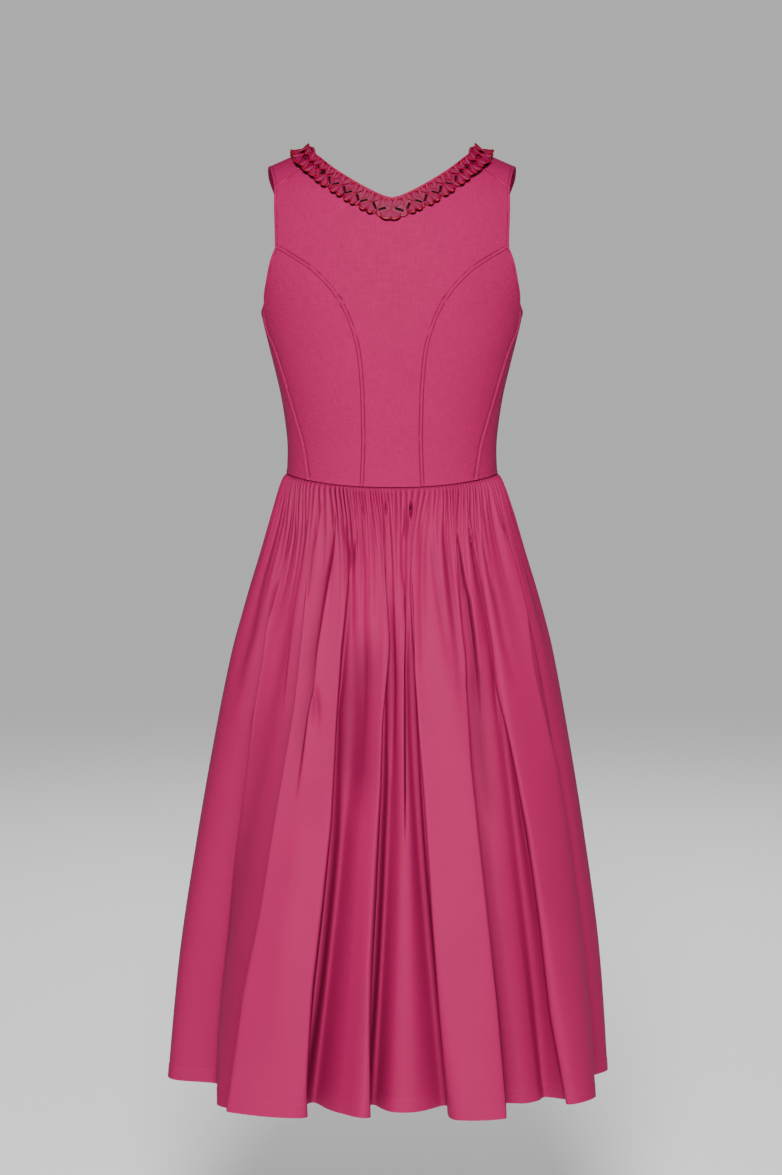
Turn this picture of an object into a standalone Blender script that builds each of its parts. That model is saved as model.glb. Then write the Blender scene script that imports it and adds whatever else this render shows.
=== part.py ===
"""A sleeveless dirndl, as worn on a general figure that isn't there.

A fitted bodice of seven panels, a pinched and pleated ribbon round the neck, and a
gathered skirt of three widths. Metres. +Z is up and the dress faces -Y, with the
wearer's left at +X. The origin is midway between the shoulders, at the height where
the straps meet the neck.
"""

import math

import bmesh
import bpy
import numpy as np

# Walls and gaps
BODICE_WALL = 0.0018
SKIRT_WALL = 0.0015
UNDERLAP_WALL = 0.0012
SEAM_GAP = 0.0003
WAIST_GAP = 0.0005
LAID_GAP = 0.0005  # between a panel and what lies on it

# Levels, measured down from the shoulders
CHEST_LEVEL = -0.176  # above it the body closes over the shoulders
WAIST_LEVEL = -0.375
WAIST_DIP_BACK = 0.0105
WAIST_DIP_FRONT = 0.0060
HEM_LEVEL = -1.103

# The shoulder ridge, seen from behind
RIDGE_AT_X = 0.0971
RIDGE_AT_Z = 0.0018
RIDGE_SLOPE = 0.444

CLIMB = 0.200  # the surface coordinate's length from chest level up to the ridge
ROUNDNESS = 2.25  # 2 would make level sections ellipses
BACK_SHOULDER_POWER = 2.6
FRONT_SHOULDER_POWER = 1.9

# The outer face of the bodice
TORSO = [
    # level, half_width, back_depth, front_depth
    (-0.393, 0.1250, 0.0850, 0.0970),
    (-0.375, 0.1235, 0.0845, 0.0960),
    (-0.343, 0.1227, 0.0860, 0.0990),
    (-0.314, 0.1256, 0.0895, 0.1040),
    (-0.284, 0.1304, 0.0930, 0.1090),
    (-0.254, 0.1373, 0.0962, 0.1135),
    (-0.225, 0.1445, 0.0985, 0.1170),
    (-0.201, 0.1503, 0.0998, 0.1190),
    (-0.186, 0.1531, 0.1000, 0.1195),
    (-0.161, 0.1584, 0.1000, 0.1200),
    (-0.137, 0.1648, 0.1000, 0.1195),
    (-0.097, 0.1730, 0.0990, 0.1180),
    (-0.049, 0.1807, 0.0980, 0.1160),
    (0.000, 0.1854, 0.0980, 0.1160),
]
BUST_RISE = 0.014
BUST_X = 0.079
BUST_LEVEL = -0.217
BUST_HALF_WIDTH = 0.050
BUST_HALF_HEIGHT = 0.055

# Seams and edges of the wearer's left half, from the waist upwards
BACK_PRINCESS = [
    # x, z seen from behind
    (0.0350, -0.3241),
    (0.0369, -0.2620),
    (0.0437, -0.2131),
    (0.0616, -0.1710),
    (0.0913, -0.1374),
    (0.1345, -0.1105),
]
BACK_PRINCESS_WAIST_X = 0.0369
SIDE_SEAM = [
    # x, z seen from behind
    (0.1074, -0.3322),
    (0.1210, -0.2835),
    (0.1364, -0.2320),
    (0.1464, -0.2069),
    (0.1507, -0.1814),
]
SIDE_SEAM_WAIST_X = 0.0998
BACK_ARMHOLE_LOW = [
    # x, z seen from behind, from the side seam up to the princess seam
    (0.1507, -0.1814),
    (0.1479, -0.1609),
    (0.1451, -0.1464),
    (0.1399, -0.1238),
    (0.1345, -0.1105),
]
BACK_ARMHOLE_HIGH = [
    # x, z seen from behind, from the princess seam up to the shoulder seam
    (0.1345, -0.1105),
    (0.1352, -0.0877),
    (0.1359, -0.0633),
    (0.1357, -0.0418),
]
SHOULDER_SEAM = [
    # x, z seen from behind, from the armhole to the neck
    (0.1357, -0.0418),
    (0.1209, -0.0292),
    (0.1057, -0.0172),
    (0.0881, -0.0039),
]
FRONT_ARMHOLE_HIGH = [
    # x, z seen from in front, from the ridge down to the princess seam
    (0.1450, -0.0292),
    (0.1368, -0.0584),
    (0.1285, -0.0877),
    (0.1254, -0.1121),
]
FRONT_ARMHOLE_LOW = [
    # x, z seen from in front, from the princess seam down towards the side
    (0.1254, -0.1121),
    (0.1287, -0.1415),
    (0.1386, -0.1660),
]
UNDERARM_ANGLE = 84.0  # degrees from the centre front, where the armhole is lowest
UNDERARM_LEVEL = -0.1915
FRONT_PRINCESS = [
    # x, z seen from in front, from the waist upwards
    (0.0557, -0.3433),
    (0.0636, -0.2939),
    (0.0794, -0.2347),
    (0.0951, -0.1856),
    (0.1118, -0.1444),
    (0.1254, -0.1121),
]
FRONT_PRINCESS_WAIST_X = 0.0538
BACK_NECKLINE = [
    # x, z seen from behind, from the centre back up to the shoulder seam
    (0.0000, -0.0529),
    (0.0109, -0.0500),
    (0.0259, -0.0432),
    (0.0434, -0.0336),
    (0.0615, -0.0226),
    (0.0750, -0.0131),
    (0.0881, -0.0039),
]
FRONT_NECKLINE = [
    # x, z seen from in front, from just below the ridge down to the centre front
    (0.0932, -0.0146),
    (0.0923, -0.0486),
    (0.0889, -0.0877),
    (0.0791, -0.1268),
    (0.0594, -0.1601),
    (0.0297, -0.1797),
    (0.0000, -0.1856),
]

# Seams as they stand up from the cloth
PRINCESS_WELT = (0.0012, 0.0040)  # height, width
SIDE_WELT = (0.0018, 0.0060)

# Neck ribbon
RIBBON_WIDTH = 0.0250
RIBBON_PITCH = 0.0195
RIBBON_BASE = 0.0012
RIBBON_PUFF = 0.0042
RIBBON_NOTCH = 0.0035
RIBBON_EDGE_INSET = 0.0008
RIBBON_LOW = 0.35  # the puff's height between motifs, as a share
RIBBON_EDGE_SHARE = 0.45
RIBBON_END_ANGLE = 0.02  # where it stops, beside the centre front
RIBBON_SAMPLES = 200
PINCH_LENGTH = 0.16  # shares of a motif and of the half width
PINCH_WIDTH = 0.45
STATIONS_PER_MOTIF = 4

# Front underlap
UNDERLAP_HALF_WIDTH = 0.013
UNDERLAP_END = 0.004

# Skirt silhouette, from the waist seam down
SKIRT = [
    # drop, half_width
    (0.000, 0.1227),
    (0.010, 0.1281),
    (0.034, 0.1358),
    (0.092, 0.1539),
    (0.151, 0.1728),
    (0.211, 0.1890),
    (0.331, 0.2121),
    (0.451, 0.2323),
    (0.572, 0.2503),
    (0.728, 0.2663),
]
SKIRT_BACK_DEPTH = (0.0837, 0.2050)  # at the waist and at the hem
SKIRT_FRONT_DEPTH = (0.0952, 0.2000)

# Large folds, in the order seen from behind from left to right, starting at the
# centre front. Each has three lines that run from the waist to the hem: its valley, the
# rise beside it, and its edge, which lies over the next valley. Angles are degrees from
# the centre back, + to the wearer's left, and "at" is a share of the skirt's half size
# at the hem.
FOLDS = [
    # valley, rise and edge, each as (waist_angle, middle_angle, hem_angle, at)
    ((172.0, 172.0, 172.0, 0.80), (164.0, 163.5, 163.0, 0.97), (156.0, 156.0, 156.0, 0.98)),
    ((150.0, 151.5, 153.0, 0.74), (142.0, 142.5, 143.0, 0.96), (134.0, 134.0, 134.0, 1.00)),
    ((128.0, 130.5, 133.0, 0.80), (119.0, 120.0, 121.0, 0.98), (110.0, 111.5, 113.0, 0.96)),
    ((100.0, 104.0, 110.0, 0.82), (84.0, 90.0, 98.0, 1.00), (66.0, 76.0, 89.0, 0.985)),
    ((46.0, 58.5, 80.0, 0.79), (33.0, 35.0, 41.0, 1.01), (20.0, 17.5, 24.5, 0.965)),
    ((15.0, 16.0, 31.0, 0.67), (8.0, 8.5, 14.7, 0.84), (3.0, 2.8, 7.5, 0.905)),
    ((0.5, 0.8, 7.5, 0.64), (-2.0, -2.5, 0.0, 0.78), (-4.5, -5.0, -7.0, 0.79)),
    ((-6.0, -8.2, -19.4, 0.69), (-8.0, -9.0, -17.0, 0.98), (-22.5, -24.0, -28.0, 1.025)),
    ((-26.0, -28.5, -38.0, 0.79), (-30.0, -33.0, -45.0, 0.83), (-34.0, -38.0, -51.0, 0.83)),
    ((-37.0, -43.0, -56.5, 0.81), (-40.0, -43.5, -55.0, 0.97), (-62.0, -65.5, -69.0, 0.96)),
    ((-68.0, -74.0, -89.0, 0.80), (-80.0, -85.0, -97.0, 0.935), (-92.0, -96.0, -104.0, 1.00)),
    ((-103.0, -107.0, -112.0, 0.82), (-112.0, -116.0, -120.0, 0.98), (-121.0, -124.0, -127.0, 0.98)),
    ((-128.0, -129.5, -131.0, 0.76), (-136.0, -138.0, -141.0, 0.97), (-143.0, -145.0, -147.0, 0.98)),
    ((-150.0, -150.0, -150.0, 0.80), (-158.0, -159.0, -160.0, 0.98), (-164.0, -165.0, -166.0, 0.97)),
    ((-170.0, -169.5, -169.0, 0.78), (-177.0, -177.0, -177.0, 0.95), (-183.0, -183.0, -183.0, 0.96)),
]
GATHERS = 132  # small gathers in the waist seam
EVEN_GATHERS = 0.5  # how far the waist seam evens out the cloth between the folds
GATHERED_DROP = 0.08  # and how soon below it the folds draw the cloth to themselves
LEFT_SEAM = 90.0  # skirt seams, in degrees round the waist from the centre front
RIGHT_SEAM = 270.0
GATHERED_ROWS = [
    # drop as a share of the skirt's length, how far the gathers stand out
    (0.000, 0.0006),
    (0.014, 0.0016),
    (0.047, 0.0018),
    (0.110, 0.0012),
]
FOLDED_ROWS = [0.190, 0.300, 0.430, 0.570, 0.710, 0.855, 1.000]

# Steps along the bodice's seams and across its panels
PRINCESS_ROWS = 10
HIGH_ARMHOLE_ROWS = 4
SHOULDER_COLUMNS = 3
NECK_COLUMNS = 7
BACK_SIDE_COLUMNS = 4
FRONT_SIDE_COLUMNS = 10
FRONT_COLUMNS = 5
FRONT_EDGE_ROWS = 7
STRAP_ROWS = 9
RIBBON_COLUMNS = 4
SEAM_STEPS = 5  # spots of a curved seam for each row of its table
CURVE_STEPS = 12  # a curve is read this many times for each of its spots
WALK_STEPS = 6  # straight steps of a walk over the body
TURN_STEP = 0.5  # degrees and metres to each side of a place when its slope is read
CLIMB_STEP = 0.0015
DOWN_STEP = 0.010
SHARP_EDGE = 50.0  # degrees between faces

# Materials: colour, roughness
MAGENTA_WEAVE = ((0.57, 0.063, 0.168, 1.0), 0.75)
MAGENTA_COTTON = ((0.54, 0.058, 0.155, 1.0), 0.62)
RIBBON_RED = ((0.42, 0.010, 0.030, 1.0), 0.40)


# ---------------------------------------------------------------- curves and tables


def through(knots, values, at):
    """A smooth curve through a table's rows, read at one place."""
    last = len(knots) - 2
    i = int(min(max(np.searchsorted(knots, at) - 1, 0), last))

    def slope(k):
        low, high = max(k - 1, 0), min(k + 1, last + 1)
        return (values[high] - values[low]) / (knots[high] - knots[low])

    step = knots[i + 1] - knots[i]
    u = (at - knots[i]) / step
    from_start = (1 + 2 * u) * (1 - u) ** 2
    from_end = u * u * (3 - 2 * u)
    bend_start = u * (1 - u) ** 2
    bend_end = u * u * (u - 1)
    return (
        from_start * values[i]
        + from_end * values[i + 1]
        + step * (bend_start * slope(i) + bend_end * slope(i + 1))
    )


def columns(rows):
    table = np.array(rows, float)
    return table[:, 0], table[:, 1:]


TORSO_LEVELS, TORSO_SIZES = columns(TORSO)
SKIRT_DROPS, SKIRT_HALF_WIDTHS = columns(SKIRT)


def signed_power(value, power):
    return math.copysign(abs(value) ** power, value)


def bell(value, width):
    return math.exp(-((value / width) ** 2))


# ---------------------------------------------------------------- the body's surface


def ridge(x):
    return RIDGE_AT_Z + RIDGE_SLOPE * (RIDGE_AT_X - abs(x))


def shoulder_power(back):
    return BACK_SHOULDER_POWER if back else FRONT_SHOULDER_POWER


def torso(angle, climb):
    """The outer face of the bodice.

    angle is in degrees from the centre line of the side it is on. climb is negative
    below chest level at the front, rises to CLIMB at the shoulder ridge, and goes on
    past 2 * CLIMB below chest level at the back.
    """
    back = climb > CLIMB
    up = 2 * CLIMB - climb if back else climb
    power = 2 / shoulder_power(back)
    lift = max(up, 0.0) / CLIMB * math.pi / 2
    rise = math.sin(lift) ** power
    level = CHEST_LEVEL + up if up < 0 else CHEST_LEVEL * (1 - rise)
    half_width, back_depth, front_depth = through(TORSO_LEVELS, TORSO_SIZES, level)
    x = half_width * signed_power(math.sin(math.radians(angle)), 2 / ROUNDNESS)
    share = signed_power(math.cos(math.radians(angle)), 2 / ROUNDNESS)
    towards_back = (share >= 0) == back
    y = abs(share) * max(math.cos(lift), 0.0) ** power
    y *= back_depth if towards_back else -front_depth
    z = level if up < 0 else CHEST_LEVEL + (ridge(x) - CHEST_LEVEL) * rise
    if y < 0:
        across = bell(abs(x) - BUST_X, BUST_HALF_WIDTH)
        y -= BUST_RISE * across * bell(z - BUST_LEVEL, BUST_HALF_HEIGHT)
    return np.array((x, y, z))


def place(x, z, back):
    """Where on the body a point is that shows at x, z from behind or from in front."""
    up, level = z - CHEST_LEVEL, z
    if z > CHEST_LEVEL:
        rise = (z - CHEST_LEVEL) / (ridge(x) - CHEST_LEVEL)
        level = CHEST_LEVEL * (1 - rise)
        up = CLIMB * 2 / math.pi * math.asin(rise ** (shoulder_power(back) / 2))
    half_width = through(TORSO_LEVELS, TORSO_SIZES, level)[0]
    angle = math.degrees(math.asin(min((x / half_width) ** (ROUNDNESS / 2), 1.0)))
    return np.array((angle, 2 * CLIMB - up if back else up))


def waist_dip(angle_from_back):
    forward = math.cos(math.radians(angle_from_back))
    dip = WAIST_DIP_BACK if forward > 0 else WAIST_DIP_FRONT
    return dip * forward**2


def waist_at(angle, back):
    """The bodice's lower edge at an angle from the centre line of one side."""
    level = WAIST_LEVEL - waist_dip(angle if back else 180 - angle)
    up = level - CHEST_LEVEL
    return np.array((angle, 2 * CLIMB - up if back else up))


def waist_angle(x, back):
    """The angle where the waist seam shows at x."""
    half_width = through(TORSO_LEVELS, TORSO_SIZES, WAIST_LEVEL)[0]
    return math.degrees(math.asin((x / half_width) ** (ROUNDNESS / 2)))


def outward(angle, climb):
    """The cloth's outward direction at a place on the body."""
    across = torso(angle + TURN_STEP, climb) - torso(angle - TURN_STEP, climb)
    along = torso(angle, climb + CLIMB_STEP) - torso(angle, climb - CLIMB_STEP)
    normal = np.cross(across, along)
    normal /= np.linalg.norm(normal)
    middle = np.array((0.0, 0.0, CHEST_LEVEL))
    facing = np.dot(normal, torso(angle, climb) - middle)
    return normal if facing > 0 else -normal


def other_side(spots):
    """The same places of the lower body, told from the other centre line."""
    return [np.array((180 - angle, 2 * CLIMB - climb)) for angle, climb in spots]


def run_along(spots, shares):
    """Places at given shares of the length of a smooth curve through some spots."""
    spots = np.array(spots)
    steps = np.array([torso(*spot) for spot in spots])
    knots = np.concatenate(([0], np.cumsum(np.linalg.norm(np.diff(steps, axis=0), axis=1))))
    fine = np.linspace(0, knots[-1], CURVE_STEPS * len(spots))
    places = np.array([through(knots, spots, at) for at in fine])
    points = np.array([torso(*spot) for spot in places])
    length = np.concatenate(([0], np.cumsum(np.linalg.norm(np.diff(points, axis=0), axis=1))))
    wanted = np.array(shares) * length[-1]
    return [
        np.array([np.interp(at, length, places[:, k]) for k in range(2)]) for at in wanted
    ]


def even(count):
    return [k / count for k in range(count + 1)]


# ---------------------------------------------------------------- seams


def seam(rows, back):
    return [place(x, z, back) for x, z in rows]


def curved_seam(rows, back):
    """Places along a smooth curve through what shows from behind or from in front."""
    shown = np.array(rows)
    knots = np.concatenate(([0], np.cumsum(np.linalg.norm(np.diff(shown, axis=0), axis=1))))
    fine = np.linspace(0, knots[-1], SEAM_STEPS * (len(rows) - 1) + 1)
    return seam([through(knots, shown, at) for at in fine], back)


def seams():
    """Each seam and edge of the left half, as places in equal steps."""
    princess_waist = waist_at(waist_angle(BACK_PRINCESS_WAIST_X, True), True)
    side_waist = waist_at(waist_angle(SIDE_SEAM_WAIST_X, True), True)
    front_waist = waist_at(waist_angle(FRONT_PRINCESS_WAIST_X, False), False)
    neck = seam(BACK_NECKLINE, True) + seam(FRONT_NECKLINE, False)
    shoulder_end = len(BACK_NECKLINE) - 1
    underarm = np.array((UNDERARM_ANGLE, UNDERARM_LEVEL - CHEST_LEVEL))
    side = [side_waist] + curved_seam(SIDE_SEAM, True)
    over_shoulder = [seam(SHOULDER_SEAM, True)[0]] + seam(FRONT_ARMHOLE_HIGH, False)
    lower_arm = seam(FRONT_ARMHOLE_LOW, False) + [underarm, other_side(side[-1:])[0]]
    return {
        "back_princess": [princess_waist] + curved_seam(BACK_PRINCESS, True),
        "side": side,
        "side_front": other_side(side),
        "back_armhole_low": seam(BACK_ARMHOLE_LOW, True),
        "back_armhole_high": seam(BACK_ARMHOLE_HIGH, True),
        "shoulder": seam(SHOULDER_SEAM, True),
        "front_armhole_high": over_shoulder,
        "front_armhole_low": lower_arm,
        "front_princess": [front_waist] + seam(FRONT_PRINCESS, False),
        "neck": neck,
        "neck_back": neck[: shoulder_end + 1],
        "neck_front": neck[shoulder_end:],
        "centre_front": [waist_at(0.0, False), seam(FRONT_NECKLINE, False)[-1]],
    }


def waist_run(start, end, back):
    """Spots of the waist seam between two angles."""
    return [waist_at(angle, back) for angle in np.linspace(start, end, 7)]


# ---------------------------------------------------------------- cloth walls


def patch(bottom, top, left, right):
    """The places inside four edges. Bottom and top run from left to right."""
    grid = []
    shares = (shares_of(bottom) + shares_of(top)) / 2
    for i, v in enumerate(even(len(left) - 1)):
        row = []
        for j, u in enumerate(shares):
            across = (1 - u) * left[i] + u * right[i]
            along = (1 - v) * bottom[j] + v * top[j]
            low = (1 - u) * bottom[0] + u * bottom[-1]
            high = (1 - u) * top[0] + u * top[-1]
            row.append(across + along - ((1 - v) * low + v * high))
        grid.append(row)
    return grid


def shares_of(edge):
    """How far along an edge each of its places is."""
    points = np.array([torso(*spot) for spot in edge])
    steps = np.linalg.norm(np.diff(points, axis=0), axis=1)
    return np.concatenate(([0], np.cumsum(steps))) / steps.sum()


def pulled_in(rows, gap):
    """A grid of points with its rim moved in by a gap, to part it from its neighbours."""
    grid = np.array(rows)

    def towards(edge, inner):
        way = inner - edge
        return edge + way / np.linalg.norm(way, axis=-1, keepdims=True) * gap

    grid[0], grid[-1] = towards(grid[0], grid[1]), towards(grid[-1], grid[-2])
    grid[:, 0] = towards(grid[:, 0], grid[:, 1])
    grid[:, -1] = towards(grid[:, -1], grid[:, -2])
    return grid


def strip(mesh, low, high):
    """Faces between two rows of vertices. The low row may have twice the steps."""
    if len(low) == len(high):
        for k in range(len(low) - 1):
            mesh.faces.new((low[k], low[k + 1], high[k + 1], high[k]))
        return
    for k in range(len(high) - 1):
        a, b, c = low[2 * k : 2 * k + 3]
        mesh.faces.new((a, b, high[k]))
        mesh.faces.new((b, high[k + 1], high[k]))
        mesh.faces.new((b, c, high[k + 1]))


def cloth_wall(name, outer, inner, material):
    """One closed body between an outer and an inner grid of points."""
    mesh = bmesh.new()
    front = [[mesh.verts.new(point) for point in row] for row in outer]
    back = [[mesh.verts.new(point) for point in row] for row in inner]
    for rows in (front, back):
        for low, high in zip(rows, rows[1:]):
            strip(mesh, low, high)
    strip(mesh, front[0], back[0])
    strip(mesh, front[-1], back[-1])
    for end in (0, -1):
        strip(mesh, [row[end] for row in front], [row[end] for row in back])
    bmesh.ops.recalc_face_normals(mesh, faces=mesh.faces)
    if mesh.calc_volume(signed=True) < 0:
        bmesh.ops.reverse_faces(mesh, faces=mesh.faces)
    data = bpy.data.meshes.new(name)
    mesh.to_mesh(data)
    mesh.free()
    data.shade_smooth()
    data.set_sharp_from_angle(angle=math.radians(SHARP_EDGE))
    data.materials.append(material)
    dress = bpy.data.objects.new(name, data)
    bpy.data.collections["dirndl"].objects.link(dress)
    return dress


def panel(name, places, material, lifts=None):
    """A bodice panel. lifts raises the outer face, as (height, first or last column)."""
    outer, inner = [], []
    for row in places:
        outer.append([torso(*spot) for spot in row])
        inner.append([torso(*spot) - BODICE_WALL * outward(*spot) for spot in row])
    outer = pulled_in(outer, SEAM_GAP / 2)
    for column, height in (lifts or {}).items():
        for i, row in enumerate(places):
            outer[i][column] += height * outward(*row[column])
    cloth_wall(name, outer, pulled_in(inner, SEAM_GAP / 2), material)


def mirrored(places):
    """The same places on the wearer's other side."""
    return [[np.array((-angle, climb)) for angle, climb in row] for row in places]


def with_welts(count, length):
    """Even shares of an edge, with one more column at the width of the welt at each end."""
    shares = even(count)
    shares.insert(1, PRINCESS_WELT[1] / length)
    shares.insert(-1, 1 - SIDE_WELT[1] / length)
    return shares


# ---------------------------------------------------------------- bodice


def back_centre(lines, material):
    half = SHOULDER_COLUMNS + NECK_COLUMNS
    welt_height, welt = PRINCESS_WELT
    neck = run_along(lines["neck_back"], even(NECK_COLUMNS))
    shoulder = run_along(lines["shoulder"][::-1], even(SHOULDER_COLUMNS))
    top = neck + shoulder[1:]
    side = run_along(lines["back_princess"], even(PRINCESS_ROWS))
    side += run_along(lines["back_armhole_high"], even(HIGH_ARMHOLE_ROWS))[1:]
    waist_x = waist_angle(BACK_PRINCESS_WAIST_X, True)
    bottom = run_along(waist_run(0.0, waist_x, True), even(half))
    middle = run_along([bottom[0], top[0]], even(len(side) - 1))
    right_half = patch(bottom, top, middle, side)
    places = [
        [np.array((-angle, climb)) for angle, climb in row[:0:-1]] + row
        for row in right_half
    ]
    panel("back_centre", places, material, {0: welt_height, -1: welt_height})


def back_side(lines, material):
    left = run_along(lines["back_princess"], even(PRINCESS_ROWS))
    right = run_along(lines["side"], even(PRINCESS_ROWS))
    angles = [waist_angle(x, True) for x in (BACK_PRINCESS_WAIST_X, SIDE_SEAM_WAIST_X)]
    waist = waist_run(*angles, True)
    length = np.linalg.norm(torso(*waist[-1]) - torso(*waist[0]))
    shares = with_welts(BACK_SIDE_COLUMNS, length)
    bottom = run_along(waist, shares)
    top = run_along(lines["back_armhole_low"][::-1], shares)
    places = patch(bottom, top, left, right)
    lifts = {-1: SIDE_WELT[0]}
    panel("back_side_left", places, material, lifts)
    panel("back_side_right", mirrored(places), material, lifts)


def front_side(lines, material):
    left = run_along(lines["side_front"], even(PRINCESS_ROWS))
    right = run_along(lines["front_princess"], even(PRINCESS_ROWS))
    side_angle = 180 - waist_angle(SIDE_SEAM_WAIST_X, True)
    front_angle = waist_angle(FRONT_PRINCESS_WAIST_X, False)
    shares = even(FRONT_SIDE_COLUMNS)
    bottom = run_along(waist_run(side_angle, front_angle, False), shares)
    top = run_along(lines["front_armhole_low"][::-1], shares)
    places = patch(bottom, top, left, right)
    panel("front_side_left", places, material)
    panel("front_side_right", mirrored(places), material)


def front_centre(lines, material):
    outer_side = run_along(lines["front_princess"], even(PRINCESS_ROWS))
    upper = run_along(lines["front_armhole_high"][::-1], even(STRAP_ROWS))
    outer_side += upper[1:]
    inner_side = run_along(lines["centre_front"], even(FRONT_EDGE_ROWS))
    neck_rows = len(outer_side) - 1 - FRONT_EDGE_ROWS
    inner_side += run_along(lines["neck_front"][::-1], even(neck_rows))[1:]
    shares = even(FRONT_COLUMNS)
    front_angle = waist_angle(FRONT_PRINCESS_WAIST_X, False)
    bottom = run_along(waist_run(0.0, front_angle, False), shares)
    top = run_along(lines["shoulder"][::-1], shares)
    places = patch(bottom, top, inner_side, outer_side)
    panel("front_centre_left", places, material, {-1: PRINCESS_WELT[0]})
    panel("front_centre_right", mirrored(places), material, {-1: PRINCESS_WELT[0]})


def front_underlap(lines, material):
    """The strip behind the closing, just inside the two fronts."""
    edge = run_along(lines["centre_front"], even(FRONT_EDGE_ROWS))
    heights = [spot[1] for spot in edge]
    heights[0] += UNDERLAP_END
    heights[-1] -= UNDERLAP_END
    outer, inner = [], []
    for height in heights:
        half_width = through(TORSO_LEVELS, TORSO_SIZES, CHEST_LEVEL + min(height, 0.0))[0]
        share = (UNDERLAP_HALF_WIDTH / half_width) ** (ROUNDNESS / 2)
        reach = math.degrees(math.asin(share))
        spots = [(angle, height) for angle in (-reach, 0.0, reach)]
        depth = BODICE_WALL + LAID_GAP
        outer.append([torso(*spot) - depth * outward(*spot) for spot in spots])
        depth += UNDERLAP_WALL
        inner.append([torso(*spot) - depth * outward(*spot) for spot in spots])
    cloth_wall("front_underlap", outer, inner, material)


# ---------------------------------------------------------------- neck ribbon


def walked(spot, way, distance):
    """The place reached by going straight over the body for a distance."""
    for _ in range(WALK_STEPS):
        angle, climb = spot
        across = torso(angle + TURN_STEP, climb) - torso(angle - TURN_STEP, climb)
        along = torso(angle, climb + CLIMB_STEP) - torso(angle, climb - CLIMB_STEP)
        slopes = np.column_stack((across / (2 * TURN_STEP), along / (2 * CLIMB_STEP)))
        move = np.linalg.lstsq(slopes, way * distance / WALK_STEPS, rcond=None)[0]
        spot = spot + move
    return spot


def ribbon_relief(along, across):
    """How far the pleats stand up, as a share: pinched at each motif's middle."""
    lobe = math.sin(math.pi * along) ** 2
    pinch = bell(along - 0.5, PINCH_LENGTH) * bell(across, PINCH_WIDTH)
    relief = RIBBON_LOW + (1 - RIBBON_LOW) * lobe * (1 - pinch)
    return relief * (RIBBON_EDGE_SHARE if abs(across) == 1 else 1)


def neck_ribbon(lines, material):
    """The ribbon from the centre front round the back to the centre front again."""
    right = [np.array((-angle, climb)) for angle, climb in lines["neck"][:0:-1]]
    spots = right + lines["neck"]
    outline = np.array([torso(*spot) for spot in run_along(spots, even(RIBBON_SAMPLES))])
    length = np.linalg.norm(np.diff(outline, axis=0), axis=1).sum()
    last = round(length / RIBBON_PITCH) * STATIONS_PER_MOTIF
    path = run_along(spots, even(last))
    points = np.array([torso(*spot) for spot in path])
    ends = {0: -RIBBON_END_ANGLE, last: RIBBON_END_ANGLE}
    outer, inner = [], []
    for k, spot in enumerate(path):
        ahead = points[min(k + 1, last)] - points[max(k - 1, 0)]
        if k in ends:
            ahead = np.array((-1.0, 0.0, 0.0))
            spot = np.array((ends[k], spot[1]))
        away = np.cross(outward(*spot), ahead)
        away /= np.linalg.norm(away)
        along = (k % STATIONS_PER_MOTIF) / STATIONS_PER_MOTIF
        notch = RIBBON_NOTCH * math.cos(math.pi * along) ** 2
        span = RIBBON_WIDTH - notch - RIBBON_EDGE_INSET
        top_row, base_row = [], []
        for share in even(RIBBON_COLUMNS):
            at = walked(spot, away, RIBBON_EDGE_INSET + span * share)
            puff = RIBBON_PUFF * ribbon_relief(along, 2 * share - 1)
            lift = LAID_GAP + RIBBON_BASE + puff
            top_row.append(torso(*at) + outward(*at) * lift)
            base_row.append(torso(*at) + outward(*at) * LAID_GAP)
        outer.append(top_row)
        inner.append(base_row[::2])
    cloth_wall("neck_ribbon", outer, inner, material)


# ---------------------------------------------------------------- skirt


def skirt_size(down):
    """Half width, back depth and front depth at a level, from the waist (0) to the hem (1)."""
    half_width = through(SKIRT_DROPS, SKIRT_HALF_WIDTHS, down * SKIRT_DROPS[-1])[0]
    waist, hem = SKIRT_HALF_WIDTHS[0][0], SKIRT_HALF_WIDTHS[-1][0]
    spread = (half_width - waist) / (hem - waist)
    back, front = (
        depths[0] + (depths[1] - depths[0]) * spread
        for depths in (SKIRT_BACK_DEPTH, SKIRT_FRONT_DEPTH)
    )
    return half_width, back, front


def skirt_roundness(down):
    return ROUNDNESS + (2 - ROUNDNESS) * down


def skirt_outline(angle, at, down):
    """A point of the skirt's level section."""
    half_width, back, front = skirt_size(down)
    turn, power = math.radians(angle), 2 / skirt_roundness(down)
    depth = back if math.cos(turn) > 0 else front
    x = half_width * at * signed_power(math.sin(turn), power)
    y = depth * at * signed_power(math.cos(turn), power)
    return np.array((x, y))


def skirt_angle(x, y, down):
    """The angle from the centre back of a point of a level section."""
    half_width, back, front = skirt_size(down)
    depth = back if y > 0 else front
    power = skirt_roundness(down) / 2
    return math.degrees(
        math.atan2(signed_power(x / half_width, power), signed_power(y / depth, power))
    )


def fold_lines():
    """The fold lines, with where each lies in the cloth, in degrees round the skirt.

    Counted from the centre front by the wearer's left, these places share out the hem's
    length, so that a deep fold takes the cloth it needs.
    """
    lines = np.array([line for fold in FOLDS for line in fold])
    corners = [skirt_outline(hem_angle, at, 1.0) for _, _, hem_angle, at in lines]
    steps = np.linalg.norm(np.roll(corners, -1, axis=0) - corners, axis=1)
    places = (np.cumsum(steps) - steps) / steps.sum() * 360
    return lines, places + np.mean(180 - lines[:, 0] - places)


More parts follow.
